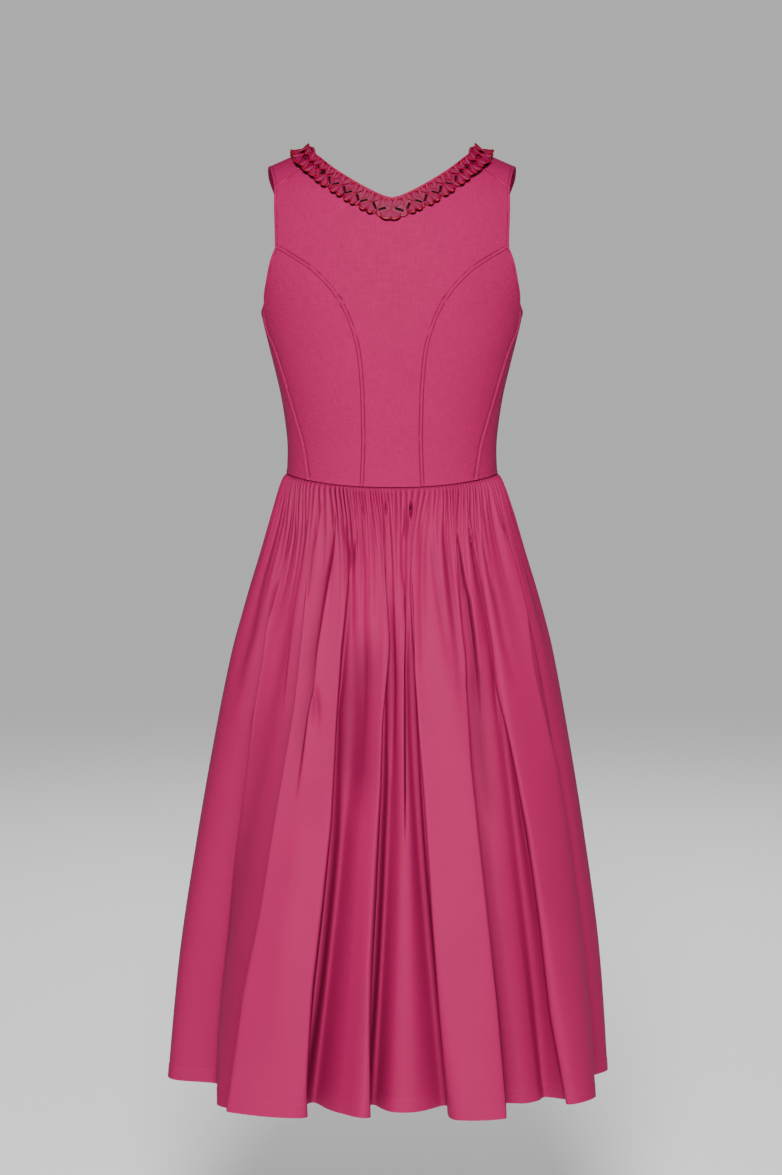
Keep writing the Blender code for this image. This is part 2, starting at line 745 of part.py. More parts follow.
def skirt_ring(down, places):
    """Points of the middle of the cloth at one level."""
    lines, knots = fold_lines()
    weights = ((1 - down) * (1 - 2 * down), 4 * down * (1 - down), down * (2 * down - 1))
    gathered = EVEN_GATHERS * math.exp(-down / GATHERED_DROP)
    angles = lines[:, :3] @ np.array(weights) + gathered * (180 - knots - lines[:, 0])
    depths = 1 - (1 - lines[:, 3]) * down
    around = np.concatenate((knots - 360, knots, knots + 360))
    corners = np.column_stack(
        (np.concatenate((angles + 360, angles, angles - 360)), np.tile(depths, 3))
    )
    ring = []
    for where in places:
        angle, at = through(around, corners, where)
        x, y = skirt_outline(angle, at, down)
        top = WAIST_LEVEL - WAIST_GAP - waist_dip(skirt_angle(x, y, down))
        ring.append((x, y, top + (HEM_LEVEL - top) * down))
    return np.array(ring)


def skirt_panel(name, first, last, material):
    """A width of the skirt from one seam to another, with a column for each half gather."""
    step = 180 / GATHERS
    beyond = np.arange(first - step, last + 1.5 * step, step)
    levels = [row[0] for row in GATHERED_ROWS] + FOLDED_ROWS
    outer, inner = [], []
    for i, down in enumerate(levels):
        ring = skirt_ring(down, beyond)
        above = skirt_ring(max(down - DOWN_STEP, 0), beyond)
        below = skirt_ring(down + DOWN_STEP, beyond)
        out = np.cross(np.gradient(ring, axis=0), above - below)
        out /= np.linalg.norm(out, axis=1, keepdims=True)
        ring, out = ring[1:-1], out[1:-1]
        face = ring + out * SKIRT_WALL / 2
        inside = ring - out * SKIRT_WALL / 2
        if i < len(GATHERED_ROWS):
            face[1::2] += out[1::2] * GATHERED_ROWS[i][1]
            outer.append(face)
        else:
            outer.append(face[::2])
        inner.append(inside[::2])
    for rows in (outer, inner):
        for row in rows:
            for end, beside in ((0, 1), (-1, -2)):
                way = row[beside] - row[end]
                row[end] += way / np.linalg.norm(way) * SEAM_GAP / 2
    cloth_wall(name, outer, inner, material)


# ---------------------------------------------------------------- the dress


def finish(name, look):
    colour, roughness = look
    material = bpy.data.materials.new(name)
    material.use_nodes = True
    shader = material.node_tree.nodes["Principled BSDF"]
    shader.inputs["Base Color"].default_value = colour
    shader.inputs["Roughness"].default_value = roughness
    shader.inputs["Metallic"].default_value = 0.0
    return material


def main():
    for leftover in list(bpy.data.objects):
        bpy.data.objects.remove(leftover, do_unlink=True)
    collection = bpy.data.collections.new("dirndl")
    bpy.context.scene.collection.children.link(collection)
    bodice_cloth = finish("bodice_cloth", MAGENTA_WEAVE)
    skirt_cloth = finish("skirt_cloth", MAGENTA_COTTON)
    ribbon = finish("ribbon", RIBBON_RED)
    lines = seams()
    back_centre(lines, bodice_cloth)
    back_side(lines, bodice_cloth)
    front_side(lines, bodice_cloth)
    front_centre(lines, bodice_cloth)
    front_underlap(lines, bodice_cloth)
    neck_ribbon(lines, ribbon)
    skirt_panel("skirt_front_left", 0.0, LEFT_SEAM, skirt_cloth)
    skirt_panel("skirt_back", LEFT_SEAM, RIGHT_SEAM, skirt_cloth)
    skirt_panel("skirt_front_right", RIGHT_SEAM, 360.0, skirt_cloth)


main()
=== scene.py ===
"""The dirndl as it looks in the photo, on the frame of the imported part.

Metres. +Z is up, the dress faces -Y and the camera looks at its back from +Y.
"""

import math

import bpy
import numpy as np
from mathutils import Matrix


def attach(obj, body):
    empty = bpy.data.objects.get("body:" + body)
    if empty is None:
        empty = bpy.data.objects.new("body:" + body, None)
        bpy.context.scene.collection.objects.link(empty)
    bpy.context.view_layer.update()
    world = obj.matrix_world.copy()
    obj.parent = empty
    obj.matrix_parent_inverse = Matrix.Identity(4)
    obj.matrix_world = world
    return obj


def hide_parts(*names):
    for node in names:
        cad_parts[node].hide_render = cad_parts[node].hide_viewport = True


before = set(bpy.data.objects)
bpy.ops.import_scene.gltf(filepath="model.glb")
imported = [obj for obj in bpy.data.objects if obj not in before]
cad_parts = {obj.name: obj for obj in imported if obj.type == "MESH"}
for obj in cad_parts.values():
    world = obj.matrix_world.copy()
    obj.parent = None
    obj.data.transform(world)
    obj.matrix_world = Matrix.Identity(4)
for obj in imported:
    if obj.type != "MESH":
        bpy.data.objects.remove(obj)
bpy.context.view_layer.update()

# ---------------------------------------------------------------- sizes of the part

BODICE_WALL = 0.0018
SKIRT_WALL = 0.0015
UNDERLAP_WALL = 0.0012
SEAM_SHOWS = 0.00001  # how far a panel's edge stays from the seam's middle
WAIST_GAP = 0.0005
LAID_GAP = 0.0005

CHEST_LEVEL = -0.176
WAIST_LEVEL = -0.375
WAIST_DIP_BACK = 0.0105
WAIST_DIP_FRONT = 0.0060
HEM_LEVEL = -1.103

RIDGE_AT_X = 0.0971
RIDGE_AT_Z = 0.0018
RIDGE_SLOPE = 0.444

CLIMB = 0.200
ROUNDNESS = 2.25
BACK_SHOULDER_POWER = 2.6
FRONT_SHOULDER_POWER = 1.9

TORSO = np.array([
    # level, half_width, back_depth, front_depth
    (-0.393, 0.1250, 0.0850, 0.0970),
    (-0.375, 0.1235, 0.0845, 0.0960),
    (-0.343, 0.1227, 0.0860, 0.0990),
    (-0.314, 0.1256, 0.0895, 0.1040),
    (-0.284, 0.1304, 0.0930, 0.1090),
    (-0.254, 0.1373, 0.0962, 0.1135),
    (-0.225, 0.1445, 0.0985, 0.1170),
    (-0.201, 0.1503, 0.0998, 0.1190),
    (-0.186, 0.1531, 0.1000, 0.1195),
    (-0.161, 0.1584, 0.1000, 0.1200),
    (-0.137, 0.1648, 0.1000, 0.1195),
    (-0.097, 0.1730, 0.0990, 0.1180),
    (-0.049, 0.1807, 0.0980, 0.1160),
    (0.000, 0.1854, 0.0980, 0.1160),
])
BUST_RISE = 0.014
BUST_X = 0.079
BUST_LEVEL = -0.217
BUST_HALF_WIDTH = 0.050
BUST_HALF_HEIGHT = 0.055

BACK_PRINCESS = [
    (0.0350, -0.3241),
    (0.0369, -0.2620),
    (0.0437, -0.2131),
    (0.0616, -0.1710),
    (0.0913, -0.1374),
    (0.1345, -0.1105),
]
BACK_PRINCESS_WAIST_X = 0.0369
SIDE_SEAM = [
    (0.1074, -0.3322),
    (0.1210, -0.2835),
    (0.1364, -0.2320),
    (0.1464, -0.2069),
    (0.1507, -0.1814),
]
SIDE_SEAM_WAIST_X = 0.0998
BACK_ARMHOLE_LOW = [
    (0.1507, -0.1814),
    (0.1479, -0.1609),
    (0.1451, -0.1464),
    (0.1399, -0.1238),
    (0.1345, -0.1105),
]
BACK_ARMHOLE_HIGH = [
    (0.1345, -0.1105),
    (0.1352, -0.0877),
    (0.1359, -0.0633),
    (0.1357, -0.0418),
]
SHOULDER_SEAM = [
    (0.1357, -0.0418),
    (0.1209, -0.0292),
    (0.1057, -0.0172),
    (0.0881, -0.0039),
]
FRONT_ARMHOLE_HIGH = [
    (0.1450, -0.0292),
    (0.1368, -0.0584),
    (0.1285, -0.0877),
    (0.1254, -0.1121),
]
FRONT_ARMHOLE_LOW = [
    (0.1254, -0.1121),
    (0.1287, -0.1415),
    (0.1386, -0.1660),
]
UNDERARM_ANGLE = 84.0
UNDERARM_LEVEL = -0.1915
FRONT_PRINCESS = [
    (0.0557, -0.3433),
    (0.0636, -0.2939),
    (0.0794, -0.2347),
    (0.0951, -0.1856),
    (0.1118, -0.1444),
    (0.1254, -0.1121),
]
FRONT_PRINCESS_WAIST_X = 0.0538
BACK_NECKLINE = [
    (0.0000, -0.0529),
    (0.0109, -0.0500),
    (0.0259, -0.0432),
    (0.0434, -0.0336),
    (0.0615, -0.0226),
    (0.0750, -0.0131),
    (0.0881, -0.0039),
]
FRONT_NECKLINE = [
    (0.0932, -0.0146),
    (0.0923, -0.0486),
    (0.0889, -0.0877),
    (0.0791, -0.1268),
    (0.0594, -0.1601),
    (0.0297, -0.1797),
    (0.0000, -0.1856),
]

RIBBON_WIDTH = 0.0250
RIBBON_PITCH = 0.0195
UNDERLAP_HALF_WIDTH = 0.013
UNDERLAP_END = 0.004

SKIRT = np.array([
    # drop, half_width
    (0.000, 0.1227),
    (0.010, 0.1281),
    (0.034, 0.1358),
    (0.092, 0.1539),
    (0.151, 0.1728),
    (0.211, 0.1890),
    (0.331, 0.2121),
    (0.451, 0.2323),
    (0.572, 0.2503),
    (0.728, 0.2663),
])
SKIRT_BACK_DEPTH = (0.0837, 0.2050)
SKIRT_FRONT_DEPTH = (0.0952, 0.2000)
FOLDS = [
    # valley, rise and edge, each as (waist_angle, middle_angle, hem_angle, at)
    ((172.0, 172.0, 172.0, 0.80), (164.0, 163.5, 163.0, 0.97), (156.0, 156.0, 156.0, 0.98)),
    ((150.0, 151.5, 153.0, 0.74), (142.0, 142.5, 143.0, 0.96), (134.0, 134.0, 134.0, 1.00)),
    ((128.0, 130.5, 133.0, 0.80), (119.0, 120.0, 121.0, 0.98), (110.0, 111.5, 113.0, 0.96)),
    ((100.0, 104.0, 110.0, 0.82), (84.0, 90.0, 98.0, 1.00), (66.0, 76.0, 89.0, 0.985)),
    ((46.0, 58.5, 80.0, 0.79), (33.0, 35.0, 41.0, 1.01), (20.0, 17.5, 24.5, 0.965)),
    ((15.0, 16.0, 31.0, 0.67), (8.0, 8.5, 14.7, 0.84), (3.0, 2.8, 7.5, 0.905)),
    ((0.5, 0.8, 7.5, 0.64), (-2.0, -2.5, 0.0, 0.78), (-4.5, -5.0, -7.0, 0.79)),
    ((-6.0, -8.2, -19.4, 0.69), (-8.0, -9.0, -17.0, 0.98), (-22.5, -24.0, -28.0, 1.025)),
    ((-26.0, -28.5, -38.0, 0.79), (-30.0, -33.0, -45.0, 0.83), (-34.0, -38.0, -51.0, 0.83)),
    ((-37.0, -43.0, -56.5, 0.81), (-40.0, -43.5, -55.0, 0.97), (-62.0, -65.5, -69.0, 0.96)),
    ((-68.0, -74.0, -89.0, 0.80), (-80.0, -85.0, -97.0, 0.935), (-92.0, -96.0, -104.0, 1.00)),
    ((-103.0, -107.0, -112.0, 0.82), (-112.0, -116.0, -120.0, 0.98), (-121.0, -124.0, -127.0, 0.98)),
    ((-128.0, -129.5, -131.0, 0.76), (-136.0, -138.0, -141.0, 0.97), (-143.0, -145.0, -147.0, 0.98)),
    ((-150.0, -150.0, -150.0, 0.80), (-158.0, -159.0, -160.0, 0.98), (-164.0, -165.0, -166.0, 0.97)),
    ((-170.0, -169.5, -169.0, 0.78), (-177.0, -177.0, -177.0, 0.95), (-183.0, -183.0, -183.0, 0.96)),
]
EVEN_GATHERS = 0.5
GATHERED_DROP = 0.08
LEFT_SEAM = 90.0
RIGHT_SEAM = 270.0

TURN_STEP = 0.5
CLIMB_STEP = 0.0015
DOWN_STEP = 0.010

# ---------------------------------------------------------------- what the photo adds

# Camera
EYE = (0.0012, 4.45, 0.0)
TILT = 6.56  # degrees downwards
LENS = 116.4  # millimetres on a sensor 36 mm high
WAIST_SHOWS = 0.1153  # height over the middle of the view where the waist seam shows

# Seams and edges as they stand up from the cloth: height, width
PRINCESS_WELT = (0.0011, 0.0036)
SIDE_WELT = (0.0017, 0.0060)
SHOULDER_WELT = (0.0008, 0.0026)
EDGE_TURN = (0.0005, 0.0030)  # turned edges at neck, armholes and front
WAIST_TURN = (0.0007, 0.0045)  # the bodice's turned lower edge
WELT_GROOVE = 0.0005
GROOVE_WIDTH = 0.10  # of the lines beside a welt, in the welt's widths
WELT_ROUND = 0.8  # power that fills out its top
WELT_STITCH_AT = 1.08  # also in its widths
STITCH_GROOVE = 0.00025
WELT_STITCH_GROOVE = 1.6 * STITCH_GROOVE
STITCH_WIDTH = 0.0004
EDGE_ROUND = 0.0006
EDGE_SUNK = 0.9  # how much of its height a turned edge loses by that
EDGE_STEP = (0.85, 0.20)  # where its step down begins and how long it is, in its widths
EDGE_STITCH_AT = 1.05
SIDE_WELT_START = 0.012  # how far from the armhole the side welt is at its full height
SEAM_SHADE = 0.55  # painted shade in the grooves beside a seam: how much light it takes from their colour

# The mesh
SHARP_ANGLE = 55  # degrees between faces past which an edge is sharp
BODY_RADIUS = 0.13
TOP_FADE = 5  # how fast the form of a panel's upper edge fades from its rows of mesh
# distances of the close columns and rows from a panel's edges
CLOSE_COLUMNS = np.array(
    (0, 0.35, 0.8, 1.25, 1.7, 2.2, 2.7, 3.3, 3.9, 4.6, 5.4, 6.3, 7.5, 9.5)
) / 1000
CLOSE_ROWS = np.array((0, 0.4, 0.9, 1.4, 2.0, 2.7, 3.5, 4.5, 6.0)) / 1000
NARROW_ROW = 0.030  # in rows shorter than this the close columns move closer still
BACK_SEAM_SHARE = 10 / 14  # of the back centre's rows, beside the princess seam
BACK_NECK_SHARE = 0.7  # of its upper edge, along the neck
FRONT_SEAM_SHARE = 10 / 19  # of the front centre's rows, beside the princess seam
CLOSING_SHARE = 7 / 19  # of the front centre's rows, beside the closing

# Ribbon
RIBBON_PINCH = 0.0120  # from the neck edge to where the pleats are pinched
TOP_FANS = [
    # way, reach, half width at the rim in pitches, level, rise, radius of the rim
    (1, RIBBON_WIDTH - RIBBON_PINCH, 0.46, 0.0022, 0.0036, 0.00150),
    (-1, RIBBON_PINCH - 0.0024, 0.40, 0.0022, 0.0024, 0.00105),
]
UNDER_FANS = [
    (1, RIBBON_WIDTH - RIBBON_PINCH - 0.0016, 0.30, 0.0012, 0.0014, 0.00095),
    (-1, RIBBON_PINCH - 0.0034, 0.32, 0.0012, 0.0012, 0.00080),
]
FAN_ROWS, FAN_COLUMNS = 9, 13
FAN_THICK = 0.0005
FAN_STRAY = (0.0009, 0.0008)  # how far the upper and the lower mouths stand from their places
FAN_WIDTHS = (0.80, 1.04)
FAN_REACHES = (0.92, 1.0)
PINCH_WIDTH = 0.03  # half width of a pleat at its pinch, in pitches
CORNER_REACH = 0.62  # how far a mouth's corners reach, against the tips of its lobes
CLEFT = 0.20  # how far it falls short between the lobes
FOLD_DIP, FOLD_WIDTH = 0.0007, 0.10
FAN_FLARE, FAN_SWELL = 1.15, 0.7  # powers of a mouth's widening and rising towards its rim
LOBE_RISE = 0.55  # share of the rise that only the lobes have
SPREAD_TAKEN = 1.1  # how much of the spread along the neck's curve the mouths leave out
RIBBON_RIM = 0.00062  # radius of the folded edges beside the mouths
FOLD_RIM = 0.00042  # radius of the fold in the middle of a mouth
FOLD_RISE = 0.0003
SIDE_SHADE = (0.0021, 0.0006, 0.0016, 0.0014)  # black tube beside a mouth as painted shadow: out, back, up, radius
RIM_SHADE = (0.0013, 0.0009, 0.0010)  # black tube under its rim as painted shadow: beyond, up, radius
GROUND_MARGINS = (0.0036, 0.0060)  # from the neck edge, and from the ribbon's lower edge
GROUND_LIFT, GROUND_THICK = 0.0010, 0.0008
BUNCH_REACH = 0.030  # how far from the shoulder seams the pleats crowd together
BUNCH_LIFT = 0.0022
UNDER_LIFT = 0.0026  # how much more the lower mouths rise there
UNDER_WIDER = 0.25
UNDER_SHADOWS_FROM = 0.3  # how crowded the lower mouths are where they get a middle fold and black tubes of painted shadow
TUBE_SIDES = 6
ABOVE = 0.001  # a place over a rim, which tells how the rim's section stands
CLOTH, EDGE, PAINTED_SHADOW = range(3)  # the ribbon's materials: its cloth, its red rims, and black for painted shadow

# Skirt
SKIRT_LENGTH = SKIRT[-1, 0]
GATHER_PITCH = 0.0046
GATHER_WAVES = [
    # width in pitches, shift, height, start, reach and how fast they end
    (1.0, 0.0, 0.0026, 0.006, 0.055, 1.5),
    (2.0, 0.4, 0.0026, 0.030, 0.110, 2.0),
]
WIDE_GATHERS = (2.2, 1.3, 0.0022, 0.060, 0.200)  # the same for the softest ones
# the painted shade between the gathers and under the waist seam, taken from the cloth's colour
LEFT_GATHERS = (25, 40)  # mm: where the darker painted shade between the gathers begins, and how soon it is at full
GATHERS_SHADE = (0.40, 0.55)  # painted shade between the gathers: how dark, and how much more on the left
GATHERS_DARK_TO = (0.050, 0.045)  # how far down the painted shade reaches, and how much farther on the left
GATHERS_DARK_FROM = 0.004
GATHERS_DARK_WIDTH = 0.45
GATHERS_DARK_WAVE = (0.25, 90, 1.0)  # how unlike their painted shade is: size, rate and shift
WAVE_POWER, WAVE_MIDDLE = 0.8, 0.6  # for full tops, and the height that counts as none
SEAM_LINE = (0.0022, 0.55)  # the painted shade right under the waist seam: height, how dark
SEAM_TUCK = (0.0012, 0.004)  # how far the cloth is drawn in at the waist seam, and down to where
TOWARDS_VIEW = (0.25, 0.30)  # share of the depth where creases begin, and how soon they are full
INSIDE_FOLLOWS = 0.9  # how much of the relief the cloth's inner face takes on
EVEN_COLUMNS = ((0.0, 0.45), (0.12, 0.20), (0.6, 0.15), (1.0, 0.20))  # level, weight
CLOSE_SHARE = 0.45  # of the columns, set near the narrow creases
CLOSE_REACH = 4.0  # mm
EVEN_ROWS = 0.35
BEYOND = 0.3  # degrees past a panel's sides, for the direction of its cloth there
HEM_STITCH = 0.0165  # above the edge
HEM_STEP = (0.0004, 0.001)  # how much thicker the cloth is below it, and over what height
HEM_GROOVE = (0.00035, 0.0007)  # depth, width
HEM_ROWS = np.array(  # rows of mesh above the edge
    (0.8, 2.0, 4.0, 7.0, 10.0, 13.0, 14.8, 15.8, 16.5, 17.2, 18.2, 20.0, 23.0)
) / 1000

rng = np.random.default_rng(7)


# ---------------------------------------------------------------- curves and tables


def through(knots, values, at):
    """A smooth curve through a table's rows, read at many places."""
    at = np.asarray(at, float)
    count = len(knots)
    i = np.clip(np.searchsorted(knots, at) - 1, 0, count - 2)
    rows = np.arange(count)
    low, high = np.maximum(rows - 1, 0), np.minimum(rows + 1, count - 1)
    slopes = (values[high] - values[low]) / (knots[high] - knots[low])[:, None]
    step = (knots[i + 1] - knots[i])[..., None]
    u = (at - knots[i])[..., None] / step
    return (
        (1 + 2 * u) * (1 - u) ** 2 * values[i]
        + u * u * (3 - 2 * u) * values[i + 1]
        + step * (u * (1 - u) ** 2 * slopes[i] + u * u * (u - 1) * slopes[i + 1])
    )


def signed_power(value, power):
    return np.sign(value) * np.abs(value) ** power


def bell(value, width=1.0):
    return np.exp(-((value / width) ** 2))


def smooth(value):
    """0 below 0, 1 above 1, and an even rise between."""
    value = np.clip(value, 0, 1)
    return value * value * (3 - 2 * value)


def lengths(points):
    steps = np.linalg.norm(np.diff(points, axis=0), axis=1)
    return np.concatenate(([0], np.cumsum(steps)))

def shares_along(points):
    length = lengths(points)
    return length / length[-1]


def unit(vectors):
    return vectors / np.linalg.norm(vectors, axis=-1, keepdims=True)


# ---------------------------------------------------------------- the body's surface


def ridge(x):
    return RIDGE_AT_Z + RIDGE_SLOPE * (RIDGE_AT_X - np.abs(x))


def torso(spots):
    """The outer face of the bodice at (angle, climb) places."""
    angle, climb = np.moveaxis(np.asarray(spots, float), -1, 0)
    back = climb > CLIMB
    up = np.where(back, 2 * CLIMB - climb, climb)
    power = 2 / np.where(back, BACK_SHOULDER_POWER, FRONT_SHOULDER_POWER)
    lift = np.maximum(up, 0) / CLIMB * math.pi / 2
    rise = np.sin(lift) ** power
    level = np.where(up < 0, CHEST_LEVEL + up, CHEST_LEVEL * (1 - rise))
    half_width, back_depth, front_depth = np.moveaxis(
        through(TORSO[:, 0], TORSO[:, 1:], level), -1, 0
    )
    turn = np.radians(angle)
    x = half_width * signed_power(np.sin(turn), 2 / ROUNDNESS)
    share = signed_power(np.cos(turn), 2 / ROUNDNESS)
    y = np.abs(share) * np.maximum(np.cos(lift), 0) ** power
    y *= np.where((share >= 0) == back, back_depth, -front_depth)
    z = np.where(up < 0, level, CHEST_LEVEL + (ridge(x) - CHEST_LEVEL) * rise)
    across = bell(np.abs(x) - BUST_X, BUST_HALF_WIDTH)
    bust = BUST_RISE * across * bell(z - BUST_LEVEL, BUST_HALF_HEIGHT)
    return np.stack((x, np.where(y < 0, y - bust, y), z), -1)


def outward(spots):
    """The cloth's outward direction at places on the body."""
    turn, climb = np.array((TURN_STEP, 0)), np.array((0, CLIMB_STEP))
    across = torso(spots + turn) - torso(spots - turn)
    along = torso(spots + climb) - torso(spots - climb)
    normal = unit(np.cross(across, along))
    facing = ((torso(spots) - (0, 0, CHEST_LEVEL)) * normal).sum(-1, keepdims=True)
    return normal * np.sign(facing)


def place(x, z, back):
    """Where on the body a point is that shows at x, z from behind or from in front."""
    up, level = z - CHEST_LEVEL, z
    power = BACK_SHOULDER_POWER if back else FRONT_SHOULDER_POWER
    if z > CHEST_LEVEL:
        rise = (z - CHEST_LEVEL) / (ridge(x) - CHEST_LEVEL)
        level = CHEST_LEVEL * (1 - rise)
        up = CLIMB * 2 / math.pi * math.asin(rise ** (power / 2))
    half_width = through(TORSO[:, 0], TORSO[:, 1:], level)[0]
    angle = math.degrees(math.asin(min((x / half_width) ** (ROUNDNESS / 2), 1.0)))
    return (angle, 2 * CLIMB - up if back else up)


def waist_dip(angle_from_back):
    forward = np.cos(np.radians(angle_from_back))
    return np.where(forward > 0, WAIST_DIP_BACK, WAIST_DIP_FRONT) * forward**2


def waist_at(angle, back):
    """The bodice's lower edge at an angle from the centre line of one side."""
    level = WAIST_LEVEL - float(waist_dip(angle if back else 180 - angle))
    up = level - CHEST_LEVEL
    return (angle, 2 * CLIMB - up if back else up)


def waist_angle(x):
    half_width = through(TORSO[:, 0], TORSO[:, 1:], WAIST_LEVEL)[0]
    return math.degrees(math.asin((x / half_width) ** (ROUNDNESS / 2)))


def waist_run(start, end, back):
    return np.array([waist_at(angle, back) for angle in np.linspace(start, end, 7)])


def other_side(spots):
    """The same places of the lower body, told from the other centre line."""
    return np.array((180, 2 * CLIMB)) - spots


def run_along(spots, shares):
    """Places at given shares of the length of a smooth curve through some spots."""
    spots = np.asarray(spots, float)
    knots = lengths(torso(spots))
    places = through(knots, spots, np.linspace(0, knots[-1], 40 * len(spots)))
    length = lengths(torso(places))
    wanted = np.asarray(shares) * length[-1]
    return np.stack([np.interp(wanted, length, places[:, k]) for k in range(2)], -1)


def seam(rows, back):
    return np.array([place(x, z, back) for x, z in rows])


def curved_seam(rows, back):
    """Places along a smooth curve through what shows from behind or from in front."""
    shown = np.array(rows)
    knots = lengths(shown)
    fine = np.linspace(0, knots[-1], 5 * (len(rows) - 1) + 1)
    return seam(through(knots, shown, fine), back)


def seams():
    """Each seam and edge of the left half, as places."""
    neck = np.concatenate((seam(BACK_NECKLINE, True), seam(FRONT_NECKLINE, False)))
    shoulder_end = len(BACK_NECKLINE) - 1
    side = np.vstack(
        (waist_at(waist_angle(SIDE_SEAM_WAIST_X), True), curved_seam(SIDE_SEAM, True))
    )
    underarm = (UNDERARM_ANGLE, UNDERARM_LEVEL - CHEST_LEVEL)
    back_waist = waist_at(waist_angle(BACK_PRINCESS_WAIST_X), True)
    front_waist = waist_at(waist_angle(FRONT_PRINCESS_WAIST_X), False)
    return {
        "back_princess": np.vstack((back_waist, curved_seam(BACK_PRINCESS, True))),
        "side": side,
        "side_front": other_side(side),
        "back_armhole_low": seam(BACK_ARMHOLE_LOW, True),
        "back_armhole_high": seam(BACK_ARMHOLE_HIGH, True),
        "shoulder": seam(SHOULDER_SEAM, True),
        "front_armhole_high": np.vstack(
            (seam(SHOULDER_SEAM, True)[0], seam(FRONT_ARMHOLE_HIGH, False))
        ),
        "front_armhole_low": np.vstack(
            (seam(FRONT_ARMHOLE_LOW, False), underarm, other_side(side[-1]))
        ),
        "front_princess": np.vstack((front_waist, seam(FRONT_PRINCESS, False))),
        "neck": neck,
        "neck_back": neck[: shoulder_end + 1],
        "neck_front": neck[shoulder_end:],
        "centre_front": np.vstack((waist_at(0.0, False), seam(FRONT_NECKLINE, False)[-1])),
    }


LINES = seams()


# ---------------------------------------------------------------- meshes


def quads(index):
    """Faces of a grid of vertex numbers."""
    faces = (index[:-1, :-1], index[:-1, 1:], index[1:, 1:], index[1:, :-1])
    return np.stack(faces, -1).reshape(-1, 4).tolist()


def rim(low, high):
    """Faces between two lines of vertices. The low one may have twice the steps."""
    if len(low) == len(high):
        return quads(np.stack((low, high)))
    faces = []
    for k in range(len(high) - 1):
        a, b, c = low[2 * k : 2 * k + 3]
        faces += [(a, b, high[k]), (b, high[k + 1], high[k]), (b, c, high[k + 1])]
    return faces


def as_piece(name, points, faces, uvs, materials, slot, nodes, slots=None):
    data = bpy.data.meshes.new(name)
    data.from_pydata(points.tolist(), [], faces)
    data.shade_smooth()
    for material in materials:
        data.materials.append(material)
    if slots is not None:
        data.polygons.foreach_set("material_index", slots)
    corners = np.empty(len(data.loops), np.int32)
    data.loops.foreach_get("vertex_index", corners)
    layer = data.uv_layers.new(name="cloth")
    layer.data.foreach_set("uv", np.asarray(uvs, np.float32)[corners].ravel())
    data.set_sharp_from_angle(angle=math.radians(SHARP_ANGLE))
    piece = bpy.data.objects.new(name, data)
    bpy.context.scene.collection.objects.link(piece)
    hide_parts(*nodes)
    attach(piece, "root")
    return piece


def shell(outer, inner, uv_outer, uv_inner):
    """Points, faces and cloth places of one closed cloth wall."""
    rows, columns = outer.shape[:2]
    front = np.arange(rows * columns).reshape(rows, columns)
    back = rows * columns + np.arange(inner.shape[0] * inner.shape[1])
    back = back.reshape(inner.shape[:2])
    faces = quads(front) + [face[::-1] for face in quads(back)]
    for low, high, turned in (
        (front[0], back[0], True),
        (front[-1], back[-1], False),
        (front[:, 0], back[:, 0], False),
        (front[:, -1], back[:, -1], True),
    ):
        sides = rim(low, high)
        faces += [face[::-1] for face in sides] if turned else sides
    points = np.concatenate((outer.reshape(-1, 3), inner.reshape(-1, 3)))
    uvs = np.concatenate((uv_outer.reshape(-1, 2), uv_inner.reshape(-1, 2)))
    middle = (rows // 2, columns // 2)
    way = np.cross(
        outer[middle[0], middle[1] + 1] - outer[middle],
        outer[middle[0] + 1, middle[1]] - outer[middle],
    )
    through_wall = outer[middle] - inner[middle[0] * inner.shape[0] // rows, inner.shape[1] // 2]
    if way @ through_wall < 0:
        faces = [face[::-1] for face in faces]
    return points, faces, uvs


def shade(piece, painted_shade, inner):
    """Tells the cloth's material how much painted shade darkens the outer face's hollows."""
    values = np.concatenate((painted_shade.ravel(), np.zeros(inner.shape[0] * inner.shape[1])))
    piece.data.attributes.new("painted_shade", "FLOAT", "POINT").data.foreach_set("value", values)


# ---------------------------------------------------------------- bodice


def patch(bottom, top, left, right, v):
    """The places inside four edges. Bottom and top run from left to right."""
    u = sum(shares_along(torso(edge)) for edge in (bottom, top)) / 2
    u, v = u[None, :, None], v[:, None, None]
    across = (1 - u) * left[:, None] + u * right[:, None]
    low = (1 - u) * bottom[0] + u * bottom[-1]
    high = (1 - u) * top[0] + u * top[-1]
    return across + (1 - v) * (bottom - low) + v**TOP_FADE * (top - high)


def between_ends(first, last, count):
    """Rising numbers: the first ones, even steps, and the last ones."""
    middle = np.linspace(first[-1], last[0], count - len(first) - len(last) + 2)[1:-1]
    return np.concatenate((first, middle, last))


def regrid(spots, count, close_left=True):
    """The same rows of places, with columns at set distances from their ends."""
    rows = []
    for row in spots:
        length = lengths(torso(row))
        total = length[-1]
        near = CLOSE_COLUMNS * min(1.0, total / NARROW_ROW)
        wanted = between_ends(near if close_left else near[:1], total - near[::-1], count)
        rows.append(np.stack([np.interp(wanted, length, row[:, k]) for k in range(2)], -1))
    return np.array(rows)


def row_shares(length, count, low=True, high=True):
    """Shares of a length, with close steps at its ends."""
    near = CLOSE_ROWS / length
    return between_ends(near if low else near[:1], 1 - near[::-1] if high else np.ones(1), count)


def joined_run(first, second, change, shares):
    """Places along two lines, of which the second goes on where the first one ends."""
    return np.where(
        (shares <= change)[:, None],
        run_along(first, np.clip(shares / change, 0, 1)),
        run_along(second, np.clip((shares - change) / (1 - change), 0, 1)),
    )


def draw_back_sides(grid):
    """Draws a grid's first and last columns back from the middle of their seams."""
    grid[:, 0] += unit(grid[:, 1] - grid[:, 0]) * SEAM_SHOWS
    grid[:, -1] += unit(grid[:, -2] - grid[:, -1]) * SEAM_SHOWS


def drawn_back(grid):
    grid = grid.copy()
    draw_back_sides(grid.swapaxes(0, 1))
    draw_back_sides(grid)
    return grid


